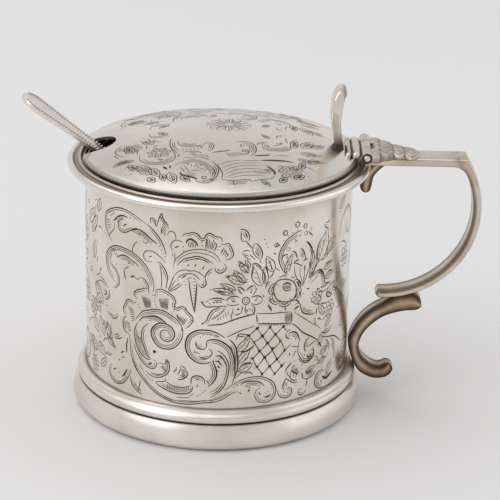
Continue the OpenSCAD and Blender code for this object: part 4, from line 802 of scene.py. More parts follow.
inner_ring = outward(u[:-1])
lining = np.vstack([inner_ring * r + [0, 0, z] for r, z in
                    ((drum_r, drum_low), (drum_in, drum_low), (drum_in, drum_high), (drum_r, drum_high))])
lining_faces = split(np.array(weave(4, drum_cols, False, True))[:, ::-1])
lining_normals = np.vstack([inner_ring * 0 - [0, 0, 1], -inner_ring, -inner_ring, inner_ring * 0 + [0, 0, 1]])
# Tarnish in the deeper cuts; and the whole sheet made darker and browner towards the rim.
drum_tarnish_and_rim_darkening = np.clip(np.maximum((deep - 0.1) / 0.2, (flat_sheet[:, 1] - 57) / 16), 0, 1)
put_engraved("body_drum", np.vstack([outer, lining]), np.vstack([out, lining_normals]),
             np.vstack([triangles, lining_faces + len(outer)]), np.r_[cut_in, np.zeros(len(lining_faces), bool)],
             drum_silver, cut_silver, "pot", np.r_[drum_tarnish_and_rim_darkening, np.zeros(len(lining))])

# ---------------------------------------------------------------- rim moulding
# A drawn wire soldered round the drum's mouth: a rounded lip, a hollow that keeps brown stain, and a fine bead
# under the lid's edge.
# To the eye: the brightest mirror of the pot, with a warm brown band in its hollow, deepened at the front by painted
# shade from the lid, and a painted shadow where it meets the lid's edge.
wire_silver = silver("sterling_silver_drawn_wire_with_stain", "#f4f0eb", "#e8e0d8", "#7b5f49", rough=0.14, cloud_mm=16)
lip_r, rim_bead_r, rim_in = 0.95, 0.55, 32.95
rim_outline = np.vstack([[(rim_in, 60.45), (34.0, 60.72), (35.3, 61.12)], arc(36.45, 62.35, lip_r, -100, 158, 22),
                         [(35.38, 62.62), (35.1, 62.62), (34.86, 62.72)], arc(34.15, 63.05, rim_bead_r, -20, 180, 12),
                         [(33.4, 63.12), (rim_in, 63.3)]])
rim_stain_and_shade = np.zeros(len(rim_outline))
# By place in the outline: the hollow behind the lip with its brown stain, the bead, the side against the lid as
# painted shadow under the lid's edge, the solder line below.
rim_stain_and_shade[21:30], rim_stain_and_shade[30:35], rim_stain_and_shade[35:], rim_stain_and_shade[:2] = 0.85, 0.45, 1.0, 0.3
points, faces = lathe(rim_outline)
painted_lid_shade = np.clip(0.72 - 0.4 * points[:, 1] / 36, 0.6, 1)  # painted shade from the lid: full at the front, paler behind
put("rim_moulding", points, faces, wire_silver, "pot", "silver", np.resize(rim_stain_and_shade, len(points)) * painted_lid_shade)

# ---------------------------------------------------------------- glass liner
# The blown and ground glass that holds the mustard: a plain beaker of cobalt blue with a rounded lip, standing
# loose on the drum's floor.
# To the eye: a deep clear blue with slow swirls, a wet gloss, and a faint wave that bends what shows through it.
cobalt = blank("cobalt_glass_blown")
tree, swirl_mm = cobalt.node_tree, 18
place = add_node(tree, "ShaderNodeTexCoord").outputs["Object"]
swirl = add_node(tree, "ShaderNodeTexNoise", (), {"Vector": place, "Scale": 1000 / swirl_mm, "Detail": 2.0})
blue = add_node(tree, "ShaderNodeMix", {"data_type": "RGBA"},
                {0: swirl.outputs[0], 6: linear("#1c3a9e"), 7: linear("#122a80")})
wave = add_node(tree, "ShaderNodeBump", (), {"Strength": 0.3, "Distance": 0.0002, "Height": swirl.outputs[0]})
glass = add_node(tree, "ShaderNodeBsdfPrincipled", (),
                 {"Base Color": blue.outputs[2], "Roughness": 0.03, "IOR": 1.5, "Transmission Weight": 0.9,
                  "Normal": wave.outputs[0]})
add_node(tree, "ShaderNodeOutputMaterial", (), {"Surface": glass.outputs[0]})
liner_low, liner_floor, heel_r, liner_lip_r, well_r = 8.1, 11.1, 2.5, 1, 1
liner_outline = np.vstack([[(0, liner_low)], arc(29.2, 10.6, heel_r, -90, 0, 9),
                           arc(30.7, 61.9, liner_lip_r, 0, 180, 12), arc(28.7, 12.1, well_r, 0, -90, 7),
                           [(0, liner_floor)]])
points, faces = lathe(liner_outline, 144)
put("glass_liner", points, faces, cobalt, "liner", "cobalt_glass")

# ---------------------------------------------------------------- lid
# A low dome raised from sheet silver with its edge turned down, engraved with scrolls and leaves round a
# star-shaped flower, and cut with a notch for the spoon's stem.
# The crown is a ball's cap; the edge is an arc that leaves it smoothly and ends in a short upright skirt.
crown_r, crown_z, edge_r, edge_x, edge_z, skirt_z, lid_t = 112.0, -41.52, 0.85, 33.05, 64.6, 64.05, 0.8
lean = np.arctan2(edge_z - crown_z, edge_x)
crown_run = crown_r * (np.pi / 2 - lean)
bend_run = crown_run + edge_r * lean
lid_run = bend_run + edge_z - skirt_z


def lid_surface(flat, sink):
    """Points and normals of the lid from a disc that is measured along its surface: first a ball's cap of the crown's
    radius, then the turned-down edge's arc, then a short upright skirt. Sink goes in along the normal."""
    run = np.linalg.norm(flat, axis=1)
    way = flat / np.maximum(run, 1e-9)[:, None]
    on_crown = run <= crown_run
    turn = np.where(on_crown, np.pi / 2 - run / crown_r, np.maximum(lean - (run - crown_run) / edge_r, 0))
    r = np.where(on_crown, crown_r * np.cos(turn), edge_x + edge_r * np.cos(turn)) - sink * np.cos(turn)
    z = np.where(on_crown, crown_z + crown_r * np.sin(turn), edge_z + edge_r * np.sin(turn)) - sink * np.sin(turn)
    z = z - np.maximum(run - bend_run, 0)
    return (np.column_stack([way * r[:, None], z]),
            np.column_stack([way * np.cos(turn)[:, None], np.sin(turn)]))


def on_lid(x, y):
    """The disc's point that lies under a place seen from above: its run is the arc whose radius is the distance."""
    r = np.hypot(x, y)
    on_crown = r <= crown_r * np.cos(lean)
    run = np.where(on_crown, crown_r * np.arcsin(np.clip(r / crown_r, 0, 1)),
                   crown_run + edge_r * (lean - np.arccos(np.clip((r - edge_x) / edge_r, -1, 1))))
    return np.stack([x, y], -1) * (run / np.maximum(r, 1e-9))[..., None]


# The lid's ornament is drawn as seen from above, in x and y.
lid_left = [
    cut(0.36, -11.6, -6.6, -11.8, -9, -11.7, -11, -11.2, -13, -10.3, -15, -9.6, -16),
    cut(0.42, -9.8, -8.6, -9.8, -10.4, -9, -11.7, -8, -12.4, -6.4, -12.5, -5, -12.2, -4.2, -12),
    cut(0.8, -5.6, -12.4, -4.8, -12.2, -4.2, -12), cut(0.45, -4.3, -12.2, -4, -13.8), *dots(0.55, -3.6, -12.6),
    cut(0.38, -3.7, -11.6, -3.3, -10.7, -2.5, -10.3, -1.7, -10.8, -1.3, -11.8, -1.2, -12.8, -1.6, -14.2, -2.4, -15.4),
    cut(0.42, -8.8, -15.4, -7, -15.2, -5.2, -15.2, -4.4, -15.6, -4.2, -16.4),
    cut(0.6, -1.4, -15.9, 0, -15.4, 2, -14.8, 2.8, -14.2),
    *hatch(6, (1.8, -16), (4.4, -15), (3, -18.2), (6, -16.8)),
    cut(fine, -8.6, -9.4, -8.2, -10.4, -7, -11, -5.6, -11),
    *hatch(5, (-8.8, -13.4), (-5, -13.2), (-8.2, -14.6), (-4.8, -14.6)), *flower(-14.2, -14.8, 2.8, 7, 10),
    cut(0.8, -14.3, -18.2, -13.7, -18.5, -13, -18.6), cut(0.9, -12.9, -22, -12.3, -22.7, -11.9, -23.3),
    cut(0.55, -11.2, -21.6, -11.2, -23), cut(0.42, -9.2, -16.2, -9.6, -17.8),
    cut(main, -17.2, -2, -16.8, -4, -15.6, -5.2, -13.4, -5.5, -12, -5.2),
    cut(main, -13.6, -8.4, -15.4, -8, -16.8, -6.8, -17.2, -5.2), cut(main, -17.4, -9.8, -17.3, -11.8),
    cut(main, -15.8, -11.4, -14.6, -10.2),
    cut(main, -11.6, -12.2, -10.2, -17, -10.8, -19.4, -12.6, -20.6, -15, -20.6, -17, -19.6, -18.6, -17.4, -18.8, -15),
    cut(fine, -11.6, -17.8, -12.6, -19.2, -14.6, -19.6, -16.4, -18.8), *leaf(-19, -20, -15.4, -25.2, 0.22),
    *leaf(-20.4, -13.4, -22.8, -8.4, 0.2), *leaf(-19.8, -17.6, -23.6, -17.2, 0.2),
    *leaf(-16.2, -26, -14.4, -28.6, 0.26), *leaf(-11.4, -24.6, -9.6, -29.8, 0.2),
    *leaf(-13.2, -25, -12.2, -28.4, 0.22), cut(main, -22, -20.4, -21.2, -20.1, -20.6, -20.6),
    cut(main, -21.2, -22.2, -20, -21.7, -18.8, -21), cut(main, -18.4, -24.4, -17.2, -24.6),
    cut(main, -25, -12.6, -24.4, -14, -23.8, -15.2), cut(main, -22.6, -14.8, -24.8, -11.4, -24.2, -8.2, -22.2, -7.4),
    cut(fine, -20.4, -10.8, -19.4, -12.6, -19.6, -14.6),
    *dots(0.4, -21.6, -23.6, -20.4, -23.4, -23, -13.8, -20.6, -6.4, -19.4, -5.6, -18.4, -4.6, -24.6, -6.2),
    *hatch(5, (-19.6, -21.8), (-16.8, -25.2), (-18.4, -21.2), (-15.8, -24.6)),
]
lid_shell = [
    cut(0.36, -10.1, -22.1, -9.4, -21.2, -8.6, -20.5, -7.4, -20, -6, -19.5, -4.4, -20.1, -2.8, -21.3, -1.6, -23, -0.8,
        -24.8, -0.5, -26.4, -0.9, -27.8, -1.8, -28.7),
    cut(0.38, -1.4, -20.2, -0.4, -22, 0.3, -24, 0.1, -26, -0.3, -27.6, -1.4, -29),
    cut(main, -0.2, -21.6, 0.7, -24, 1.2, -26, 1.1, -28, 1.5, -28.6),
    cut(0.9, -8.8, -25, -8.2, -26.2, -6.8, -26.9, -5.4, -27.6, -4.5, -28.1), ring(0.4, -3.1, -27.6, 0.55),
    cut(0.38, -5.2, -28, -4.6, -29.1, -3.6, -29.7, -2.4, -29.8, -1.4, -29.3, -0.6, -28.6, 0, -28.4),
    cut(0.45, 1.2, -28.4, 2.4, -28.6, 3.8, -28.5, 5, -28.2, 6.5, -27.9, 7.6, -27.7, 8, -28.6),
    cut(main, 3.8, -28.6, 3.9, -29.8, 4.3, -30.4),
    cut(main, 8.2, -28.4, 9.2, -27.7, 11, -26.9, 12.6, -26.3, 13.4, -25),
    cut(fine, 1.6, -27.6, 4.6, -25.4, 8.2, -24.2, 11.4, -24), cut(fine, 1.5, -26.4, 4.4, -24, 8, -22.8, 11.8, -22.6),
    cut(fine, 1.2, -25, 4, -22.6, 7.4, -21.4, 11.2, -21.2), cut(fine, 0.8, -23.6, 3.4, -21.4, 6.6, -20.4, 10, -20),
    cut(fine, 2.6, -27.8, 5.6, -26.4, 9, -25.6, 11.6, -25.4),
    cut(fine, 0.2, -22, 2.6, -20.2, 5.4, -19.4), cut(fine, -5.2, -21.4, -4.6, -22.8),
    cut(fine, -4.2, -21.6, -3.8, -22.8), cut(main, -6.2, -24.6, -5, -24.4, -4, -24.4),
    cut(fine, -9, -22.6, -8.2, -23.8, -7.6, -25.4), cut(fine, -8, -22, -7.2, -23.6, -6.4, -25.6),
    *hatch(6, (-7.4, -20.9), (-2.2, -24), (-6.8, -22), (-3.4, -24.6)),
    cut(main, -5.4, -18, -3.6, -18.6, -2, -19.6), cut(main, -8.4, -17.8, -6.8, -18.6, -5, -18.6),
    *hatch(5, (-6.2, -16.6), (-3, -17), (-5.4, -17.8), (-2.2, -18.6)),
]
lid_right = [
    cut(1.0, 10.3, -18.5, 13, -17.8, 15.4, -17.4, 17.7, -17.3),
    cut(0.9, 11.6, -20.7, 12.2, -21.5, 12.9, -22.4, 13.4, -23.3, 13.4, -24.5),
    cut(main, 8.6, -16.6, 10.4, -16.1, 12.4, -15.5), cut(main, 5.6, -19.5, 8, -19.1, 10.2, -18.7),
    cut(0.42, 4, -9.7, 5, -9, 6, -8.7, 7, -8.9, 8, -9.7, 8.7, -11, 9, -13, 8.8, -14.6, 8.2, -15.8, 7.6, -16.5),
    cut(0.42, 5.7, -11.3, 6.5, -11.2), cut(main, 5.5, -10.4, 5.2, -11.6, 5.6, -12.6),
    cut(0.42, 7.1, -13.6, 7.2, -15.2, 6.6, -16, 5.8, -16.2, 5.2, -15.7),
    *hatch(4, (5.7, -13.4), (6.9, -13.2), (5.7, -15.2), (6.8, -15)),
    cut(0.36, 9.1, -10.6, 9.4, -9.4, 10.2, -8.5, 11, -8.1, 11.9, -8.3),
    cut(0.42, 10.4, -10.4, 10.6, -11.6, 11.4, -12.4, 12.4, -12.7, 14, -12.4, 15.6, -11.9, 16.5, -11.2, 17.1, -10,
        17.3, -8.6, 17.2, -7.4), ring(main, 11.5, -10.4, 0.55),
    cut(main, 13.2, -9.6, 14.2, -8.8, 15, -8, 15.4, -6.8), cut(0.6, 8.5, -16.4, 10.4, -15.8, 12.4, -15),
    cut(main, 13.6, -14.9, 15, -14.7, 17, -14.2), cut(0.36, 13.9, -4.4, 14, -3, 14.8, -2.1, 16, -1.8),
    cut(0.5, 14.8, -6.9, 14.7, -8), cut(main, 16, -3.4, 16.2, -5, 16.5, -6.8), cut(0.5, 18.5, -6.4, 18.8, -8),
    *leaf(18, -9.4, 18.4, -3.4, 0.16), *leaf(20, -8.4, 22.8, -2.6, 0.2), *leaf(19.4, -12, 24.8, -10.6, 0.2),
    *leaf(18.8, -15, 23.6, -16.2, 0.2), *flower(17, -22.4, 2.7, 6), *leaf(19.6, -20, 20.4, -16, 0.2),
    *leaf(14.6, -27.6, 16.4, -24.6, 0.22), cut(main, 14.4, -20.2, 14.9, -19.8, 15.2, -20.6, 14.6, -21.6),
    cut(0.45, 14.5, -22.2, 14.4, -23.2), cut(fine, 14.8, -24, 15.4, -25.4, 16.4, -25.8),
    *hatch(5, (8.6, -23.4), (11.6, -22.4), (9.8, -25.2), (12.4, -24.4)),
    cut(main, 19.2, -18.4, 21.6, -18.6, 23.2, -19.8),
    *dots(0.4, 21.4, -12.8, 22.4, -13.6, 20.8, -21.6, 21.4, -22.6, 19.6, -24.4),
]
lid_leaves = [
    *leaf(-16, -22, -13.4, -26.4, 0.22), *leaf(-21.6, -16.4, -25, -19, 0.22), *leaf(-18.6, -22.6, -21.4, -19, 0.2),
    *flower(-20.8, -10.6, 2.4, 6), *leaf(-15.6, -9.4, -19, -6.4, 0.22), *leaf(-12.6, -4.6, -15, -1.4, 0.2),
    *leaf(16.4, -19.6, 20.4, -20.6, 0.24), *leaf(18, -25, 20.6, -22.4, 0.24), *leaf(21.4, -14.8, 25.4, -14.2, 0.2),
    *leaf(22.2, -7, 25.6, -3.4, 0.22), *leaf(12.2, -5.6, 10.2, -2.8, 0.2),
    *leaf(-8.6, -26.4, -6.2, -29.4, 0.22), *leaf(10.4, -27.4, 12.6, -29.6, 0.22),
]
lid_front = lid_left + lid_shell + lid_right + lid_leaves
lid_front = (lid_front + hairlines(lid_front, 0.55, 0.33) + hairlines(lid_front, 1.0, 0.33)
             + hairlines(lid_front, 1.5, 0.4))
lid_back = [(w, p * [1, -1]) for w, p in lid_front]
# The star-shaped flower near the middle: sixteen rays, long and short by turns, over a daisy.
star_x, star_y, star_long, star_short = 2.2, 3.4, 5.6, 3.4
rays = np.radians(np.arange(0, 360, 22.5))[:, None]
spread = np.where(np.arange(16) % 2, star_short, star_long)[:, None] * np.array([0.22, 0.7, 1])
star = np.stack([star_x + spread * np.cos(rays), star_y + spread * np.sin(rays)], -1)
sunburst = [(fine, ray) for ray in star] + [(0.75 * w, p) for w, p in flower(star_x, star_y, star_long, 14, 11)]
lid_cuts = [(0.8 * w, on_lid(p[:, 0], p[:, 1])) for w, p in lid_front + lid_back + sunburst]


def spun(flat, angle):
    """Flat points turned about the origin: x cos a - y sin a, and x sin a + y cos a."""
    return flat @ np.array([[np.cos(angle), np.sin(angle)], [-np.sin(angle), np.cos(angle)]])


# To the eye: a quiet mirror with wide soft clouds, and a black painted shadow along its lower edge.
lid_silver = silver("sterling_silver_raised_sheet", "#efeae4", "#e3dcd3", "#2a211a", rough=0.15, cloud_mm=18,
                    wear_mm=2.6, wear_deep=0.004)
lid_r, notch_way, notch_half, notch_end = 33.9, np.radians(184), 5.0, 30.3
gap = np.arcsin(notch_half / lid_r)
round_edge = np.linspace(notch_way + gap, notch_way - gap + 2 * np.pi, 280)
side_x = np.sqrt(lid_r ** 2 - notch_half ** 2)
notch = np.vstack([np.stack([np.linspace(side_x, notch_end, 8)[1:-1], np.full(6, -notch_half)], -1),
                   arc(notch_end, 0, notch_half, 270, 90, 33),
                   np.stack([np.linspace(notch_end, side_x, 8)[1:-1], np.full(6, notch_half)], -1)])
notch = spun(notch, notch_way)
edge = np.vstack([np.stack([np.cos(round_edge), np.sin(round_edge)], -1) * lid_run, on_lid(notch[:, 0], notch[:, 1])])
inner_rings = [(r, np.linspace(0, 2 * np.pi, max(6, int(2.6 * r)), endpoint=False)) for r in np.r_[0.01, 3:31:3]]
outer_rings = [(r, round_edge[3:-3]) for r in
               np.r_[31.6, 32.7, np.linspace(crown_run, bend_run, 6), lid_run - 0.27]]
ground = np.vstack([np.stack([np.cos(t), np.sin(t)], -1) * r for r, t in inner_rings + outer_rings])
local = spun(ground, -notch_way)
clear = (np.abs(local[:, 1]) > notch_half + 0.4) | (local[:, 0] < notch_end - notch_half - 1)
flat_lid, triangles, deep, cut_in = engrave(lid_cuts, edge, ground[clear])
outer, out = lid_surface(flat_lid, deep)


def solid(points, faces):
    """Which faces are sheet: those whose middle is not in the notch, a slot with a round inner end."""
    along, aside = spun(points[faces].mean(1)[:, :2], -notch_way).T
    return np.hypot(np.minimum(along - notch_end, 0), aside) > notch_half


kept = solid(outer, triangles)
triangles, cut_in = triangles[kept], cut_in[kept]
flat_under, under_faces = triangulate(np.vstack([edge, ground[clear]]), loop_sides(len(edge)))
under, under_out = lid_surface(flat_under, lid_t)
under_faces = under_faces[:, ::-1]
under_faces = under_faces[solid(under, under_faces)]
wall = np.vstack([lid_surface(edge, 0)[0], lid_surface(edge, lid_t)[0]])
brink = wall[:len(edge)]
wall_out = np.cross(wall[len(edge):] - brink, np.roll(brink, -1, 0) - np.roll(brink, 1, 0))
wall_out /= np.linalg.norm(wall_out, axis=1)[:, None]
wall_faces = split(np.array(weave(2, len(edge), False, True)))
# Painted shadow along the skirt, most of it in front; painted shade over the turned edge that dims its highlight; and
# tarnish in the deeper cuts.
lid_reach = np.linalg.norm(flat_lid, axis=1)
painted_gap_shadow = (np.clip((lid_reach - bend_run) / 0.35 - 0.05, 0, 1)
             * np.clip(0.3 - 0.9 * flat_lid[:, 1] / bend_run, 0.25, 1))
painted_bend_shade = np.minimum((lid_reach - crown_run) / 0.8, 0.35)
lid_tarnish_and_shade = np.clip(np.maximum.reduce([painted_gap_shadow, (deep - 0.12) / 0.2, painted_bend_shade]), 0, 1)
# The sheet's cut edge, round the skirt and the notch, is painted dark as shade.
put_engraved("lid_dome", np.vstack([outer, under, wall]), np.vstack([out, -under_out, wall_out, wall_out]),
             np.vstack([triangles, under_faces + len(outer), wall_faces + len(outer) + len(under)]),
             np.r_[cut_in, np.zeros(len(under_faces) + len(wall_faces), bool)], lid_silver, cut_silver, "lid",
             np.r_[lid_tarnish_and_shade, np.zeros(len(under)), np.full(len(wall), 0.8)])


# ---------------------------------------------------------------- lid hinge flange
# A cast reeded strip soldered on the lid beside the hinge: one thick reed, a lower fine one, and a tongue
# that carries the middle knuckle.
def capped(rows, cols):
    """Faces of a closed tube: rings of points joined row to row, and its first and last ring filled."""
    return weave(rows, cols, False, True) + [list(range(cols)), list(range((rows - 1) * cols, rows * cols))]


def bar(outer, inner, half, corner):
    """A bar along a path in the XZ plane: at each station a rectangle from the inner to the outer point, half wide to
    each side along Y, with its four corners rounded as quarter circles of five points and a point in the middle of
    each face; the ends are closed."""
    steps = 5
    outer, inner = np.asarray(outer, float), np.asarray(inner, float)
    middle, reach = (outer + inner) / 2, (outer - inner) / 2
    thick = np.linalg.norm(reach, axis=1)[:, None]
    way = reach / thick
    half = np.broadcast_to(half, len(outer))[:, None]
    turn = np.concatenate([np.r_[np.linspace(0, 1, steps), 1] + q for q in range(4)]) * np.pi / 2
    side = np.repeat([[1, 1], [-1, 1], [-1, -1], [1, -1]], steps + 1, axis=0)
    side[steps::steps + 1] = [[0, 1], [-1, 0], [0, -1], [1, 0]]
    side = side.T
    corner = np.minimum(corner, 0.97 * np.minimum(thick, half))
    t = side[0] * (thick - corner) + corner * np.cos(turn)
    y = side[1] * (half - corner) + corner * np.sin(turn)
    points = np.stack([middle[:, :1] + way[:, :1] * t, y, middle[:, 1:] + way[:, 1:] * t], -1)
    return points.reshape(-1, 3), capped(*t.shape)


def join(*forms):
    """Several forms as one: their points stacked and their faces numbered on."""
    points, faces, count = [], [], 0
    for form_points, form_faces in forms:
        faces += [[count + k for k in face] for face in form_faces]
        points.append(form_points)
        count += len(form_points)
    return np.vstack(points), faces


def mirrored(spans, middle=None):
    """A rod's places and radii from those of one half, given from its end inwards, and perhaps its middle's radius."""
    spans = np.array(spans, float)
    between = [] if middle is None else [[(0, middle)]]
    return np.vstack([spans * [-1, 1], *between, spans[::-1]])


def rod(x, z, spans, steps=40):
    """A bar turned about an axis along Y: rings of the given radius at the given places, closed by its first and last
    radius; x = axis + r cos a, z = axis + r sin a."""
    y, r = np.asarray(spans, float).T
    a = np.linspace(0, 2 * np.pi, steps, endpoint=False)[:, None]
    points = np.stack([x + r * np.cos(a), y + 0 * a, z + r * np.sin(a)], -1)
    return points.reshape(-1, 3), weave(steps, len(y), True, False)


# To the eye: bright on its ridges and warm grey between them, with dark brown in every corner.
cast_silver = silver("sterling_silver_cast_and_chased", "#e9e1d8", "#cfc1b1", "#3f3023", rough=0.15, cloud_mm=11)
thick_reed = rod(33.3, 66.06, mirrored([(6.9, 0.0), (6.85, 0.35), (6.6, 0.75), (6.1, 1.02), (5.4, 1.12)], 1.15))
fine_reed = rod(31.5, 66.15, mirrored([(6.5, 0.0), (6.4, 0.35), (6.1, 0.66), (5.6, 0.6), (5.2, 0.78)], 0.8))
tongue = bar([(33.4, 66.75), (34.4, 66.7)], [(33.4, 65.15), (34.4, 65.15)], 2.3, 0.15)
points, faces = join(thick_reed, fine_reed, tongue)
between_reeds = np.clip(1.6 - np.abs(points[:, 0] - 32.25) / 0.3, 0, 1)
by_hinge = np.clip((points[:, 0] - 34) / 0.3, 0, 1)
put("lid_hinge_flange", points, faces, cast_silver, "lid", "cast_silver", 0.6 * between_reeds + 0.6 * by_hinge)

# ---------------------------------------------------------------- hinge knuckles and pin
# Three tubes of drawn silver in a row, the middle one on the lid and the outer two on the handle, with a filed
# silver pin through all of them.
hinge_x, hinge_z, barrel, barrel_end, bore, bevel, tube_long = 35.85, 65.95, 1.4, 1.28, 0.8, 0.12, 5.2
for name, body, low in (("lid_knuckle", "lid", -2.6), ("handle_knuckle_near", "pot", -8.1),
                        ("handle_knuckle_far", "pot", 2.9)):
    high = low + tube_long
    points, faces = rod(hinge_x, hinge_z, [(low, bore), (low, barrel_end), (low + bevel, barrel),
                                           (high - bevel, barrel), (high, barrel_end), (high, bore), (low, bore)])
    tube_stain = np.resize([1, 0.9, 0.15, 0.15, 0.9, 1, 1], len(points))
    put(name, points, faces, cast_silver, body, "cast_silver", tube_stain)
points, faces = rod(hinge_x, hinge_z, mirrored([(8.3, 0), (8.3, 0.4), (8.24, 0.62), (8.12, 0.75)]), 24)
put("hinge_pin", points, faces, turned_silver, "pot", "silver")


# ---------------------------------------------------------------- thumbpiece
# A cast plate soldered upright on the lid for the thumb: narrow at its foot, widening to a rounded head, bent
# back towards the handle and rolled over at its top.
def resample(line, count):
    """A line as that many points, evenly spaced by number and drawn straight between its own."""
    share, old = np.linspace(0, 1, count), np.linspace(0, 1, len(line))
    return np.stack([np.interp(share, old, column) for column in line.T], -1)


# To the eye: a bright mirror that thumbs have kept clean, with dark dirt and painted shade round its foot, and painted
# shade on its side behind the roll.
burnished_silver = silver("sterling_silver_cast_and_burnished", "#f5f1ec", "#ddd3c8", "#3f3023", rough=0.17,
                          cloud_mm=11)
plate_rows, plate_corner = 40, 0.7
far_side = spline([(28.3, 66.3), (28.05, 67.6), (27.45, 71), (26.95, 74.2), (27.1, 77.6), (27.75, 79.9),
                   (28.6, 81.2)], 0.45)
near_side = spline([(30.5, 65.8), (30.2, 67.6), (29.65, 71), (29.55, 74.2), (29.9, 77.4), (30.2, 79.3),
                    (30.0, 80.8)], 0.45)
head = np.interp(np.linspace(0, 1, plate_rows), [0, 0.12, 0.4, 0.68, 0.86, 0.95, 1],
                 [2.9, 2.7, 3.4, 4.2, 4.0, 3.5, 2.9])
plate = bar(resample(near_side, plate_rows), resample(far_side, plate_rows), head, plate_corner)
roll = rod(29.55, 80.4, mirrored([(3.3, 0), (3.3, 0.6), (3.0, 1.0), (2.4, 1.15)]), 32)
points, faces = join(plate, roll)
# Darker towards the foot, dirt and painted shade together; and painted shade on the side behind the roll at the top.
foot_dirt_and_shade = np.clip((71.5 - points[:, 2]) / 4, 0, 1) * 0.95
painted_shade_behind_roll = 0.5 * np.clip((points[:, 0] - 29.6) / 0.4, 0, 1) * (points[:, 2] > 79)
put("thumbpiece", points, faces, burnished_silver, "lid", "cast_silver", foot_dirt_and_shade + painted_shade_behind_roll)

# ---------------------------------------------------------------- handle strap
# A flat bar of forged silver, soldered on the rim: level at first, then a sharp corner and one long sweep down
# that narrows to a rounded end on the lower scroll.
sweep_x, sweep_z, out_r, in_r, strap_top, strap_low, root_x = 41.2, 51.2, 23.7, 21.7, 64.7, 62.7, 35.2
strap_out = np.vstack([np.linspace((root_x, strap_top), (58.4, strap_top), 14),
                       np.linspace((58.4, strap_top), (60.68, strap_top), 7)[1:],
                       arc(sweep_x, sweep_z, out_r, 34.72, 26, 8)[1:], arc(sweep_x, sweep_z, out_r, 26, -94, 70)[1:]])
strap_in = np.vstack([np.linspace((root_x, strap_low), (57.23, strap_low), 14),
                      arc(57.23, 58.7, 4.0, 90, 25.07, 14)[1:], arc(sweep_x, sweep_z, in_r, 25.07, -94, 70)[1:]])
strap_half = np.interp(strap_out[:, 1], [27.5, strap_top], [2.6, 3.75])


def blunt(outer, inner, half, length):
    """Rounds a bar's far end: over the last length its thickness and width shrink as a quarter circle."""
    middle = (outer + inner) / 2
    run = run_along(middle)
    over = np.clip((run - run[-1] + length) / length, 0, 0.995)
    shrink = np.sqrt(1 - over ** 2)[:, None]
    return (middle + (outer - middle) * shrink, middle + (inner - middle) * shrink,
            np.broadcast_to(half, len(outer)) - length * (1 - shrink[:, 0]))


# To the eye: a warm mirror, with brown along the inner corners of its sweep, more of it lower down.
forged_silver = silver("sterling_silver_forged_bar", "#e4d9cc", "#c9b8a4", "#4e3a28", rough=0.17, cloud_mm=11)
points, faces = bar(*blunt(strap_out, strap_in, strap_half, 1.0), 0.55)
from_axis = np.hypot(points[:, 0] - sweep_x, points[:, 2] - sweep_z)
more_lower_down = np.interp(points[:, 2], [26, 34, 50, 60, 63], [0.75, 0.75, 0.7, 0.5, 0.3])
edges = (np.abs(from_axis - in_r) < 0.6) & (np.abs(points[:, 1]) > 1.2)
put("handle_strap", points, faces, forged_silver, "pot", "cast_silver", more_lower_down * edges, crease=30)

# ---------------------------------------------------------------- handle leaf
# A cast leaf with three scalloped lobes, its surface left frosted, soldered on the handle's level part; its root
# carries the outer knuckles.
# To the eye: a dull, sandy grey that scatters light, darker in the steps between its lobes.
frosted_silver = silver("sterling_silver_cast_and_frosted", "#d8cec5", "#bfb1a6", "#6d5846", rough=0.36, cloud_mm=3,
                        wear_mm=0.9, wear_deep=0.05)
leaf_rows, leaf_cols, leaf_root, leaf_long, leaf_seat, leaf_least = 72, 49, 36.9, 12.4, 64.6, 64.74
leaf_x = np.linspace(0, 1, leaf_rows)[:, None]
across = np.linspace(-1, 1, leaf_cols)[None, :]
along_x = leaf_root + leaf_long * leaf_x
wide = np.interp(along_x, [36.9, 38.7, 39.4, 40.2, 41.0, 41.8, 42.5, 43.2, 43.9, 44.6, 45.2, 45.9, 46.7, 47.6, 48.6,
                           49.1, 49.3],
                 [8.1, 8.1, 6.9, 6.2, 6.0, 5.2, 4.5, 4.9, 4.9, 4.5, 4.2, 4.7, 5.0, 4.5, 3.1, 2.0, 0.6])
crest = np.interp(along_x, [36.9, 37.8, 39.5, 42.2, 42.6, 45.1, 45.5, 48.2, 49.3],
                  [66.7, 67.1, 67.1, 66.75, 66.4, 66.1, 65.8, 65.5, 64.9])
flute = 0.12 * np.cos(across * 5 * np.pi + 2.2 * np.sin(along_x * 1.9)) * np.clip((along_x - 38.2) / 2, 0, 1)
top = crest - 0.55 * across ** 2 + flute * (0.4 + 0.6 * np.abs(across)) - 0.25 * np.abs(across) ** 6
pull = np.where(np.abs(across * wide) < 2.85, 0.9, -0.15) * np.clip(1 - leaf_x * 9, 0, 1)  # room for the lid's knuckle
leaf_top = np.stack([along_x + pull + 0 * across, across * wide, np.maximum(top, leaf_least)], -1)
leaf_low = leaf_top[:, ::-1] * [1, 0.94, 0] + [0, 0, leaf_seat]
leaf_points = np.concatenate([leaf_top, leaf_low], 1)
lobe = np.exp(-((along_x - np.array([39.2, 42.45, 45.3])[:, None, None]) / 0.28) ** 2).sum(0)
leaf_stain = np.concatenate([np.clip(-flute / 0.3 + 0.55 * lobe, 0, 0.9) + 0 * across,
                             np.full((leaf_rows, leaf_cols), 0.6)], 1)
put("handle_leaf", leaf_points.reshape(-1, 3), capped(*leaf_points.shape[:2]), frosted_silver, "pot", "cast_silver",
    leaf_stain.ravel())


# ---------------------------------------------------------------- handle spur
# A short cast branch under the handle's root, curled down against the drum to a blunt end.
# It is soldered to the strap above, out of reach of the polishing cloth.
def even(knots, count):
    """A smooth curve through the knots as that many points."""
    return resample(spline(knots, 0.2), count)


def face_middle_highlight(points):
    """Which points of a bar lie in the middle of a face, left light as a painted highlight: the last of every six in a
    ring.
    """
    return np.arange(len(points)) % 6 == 5


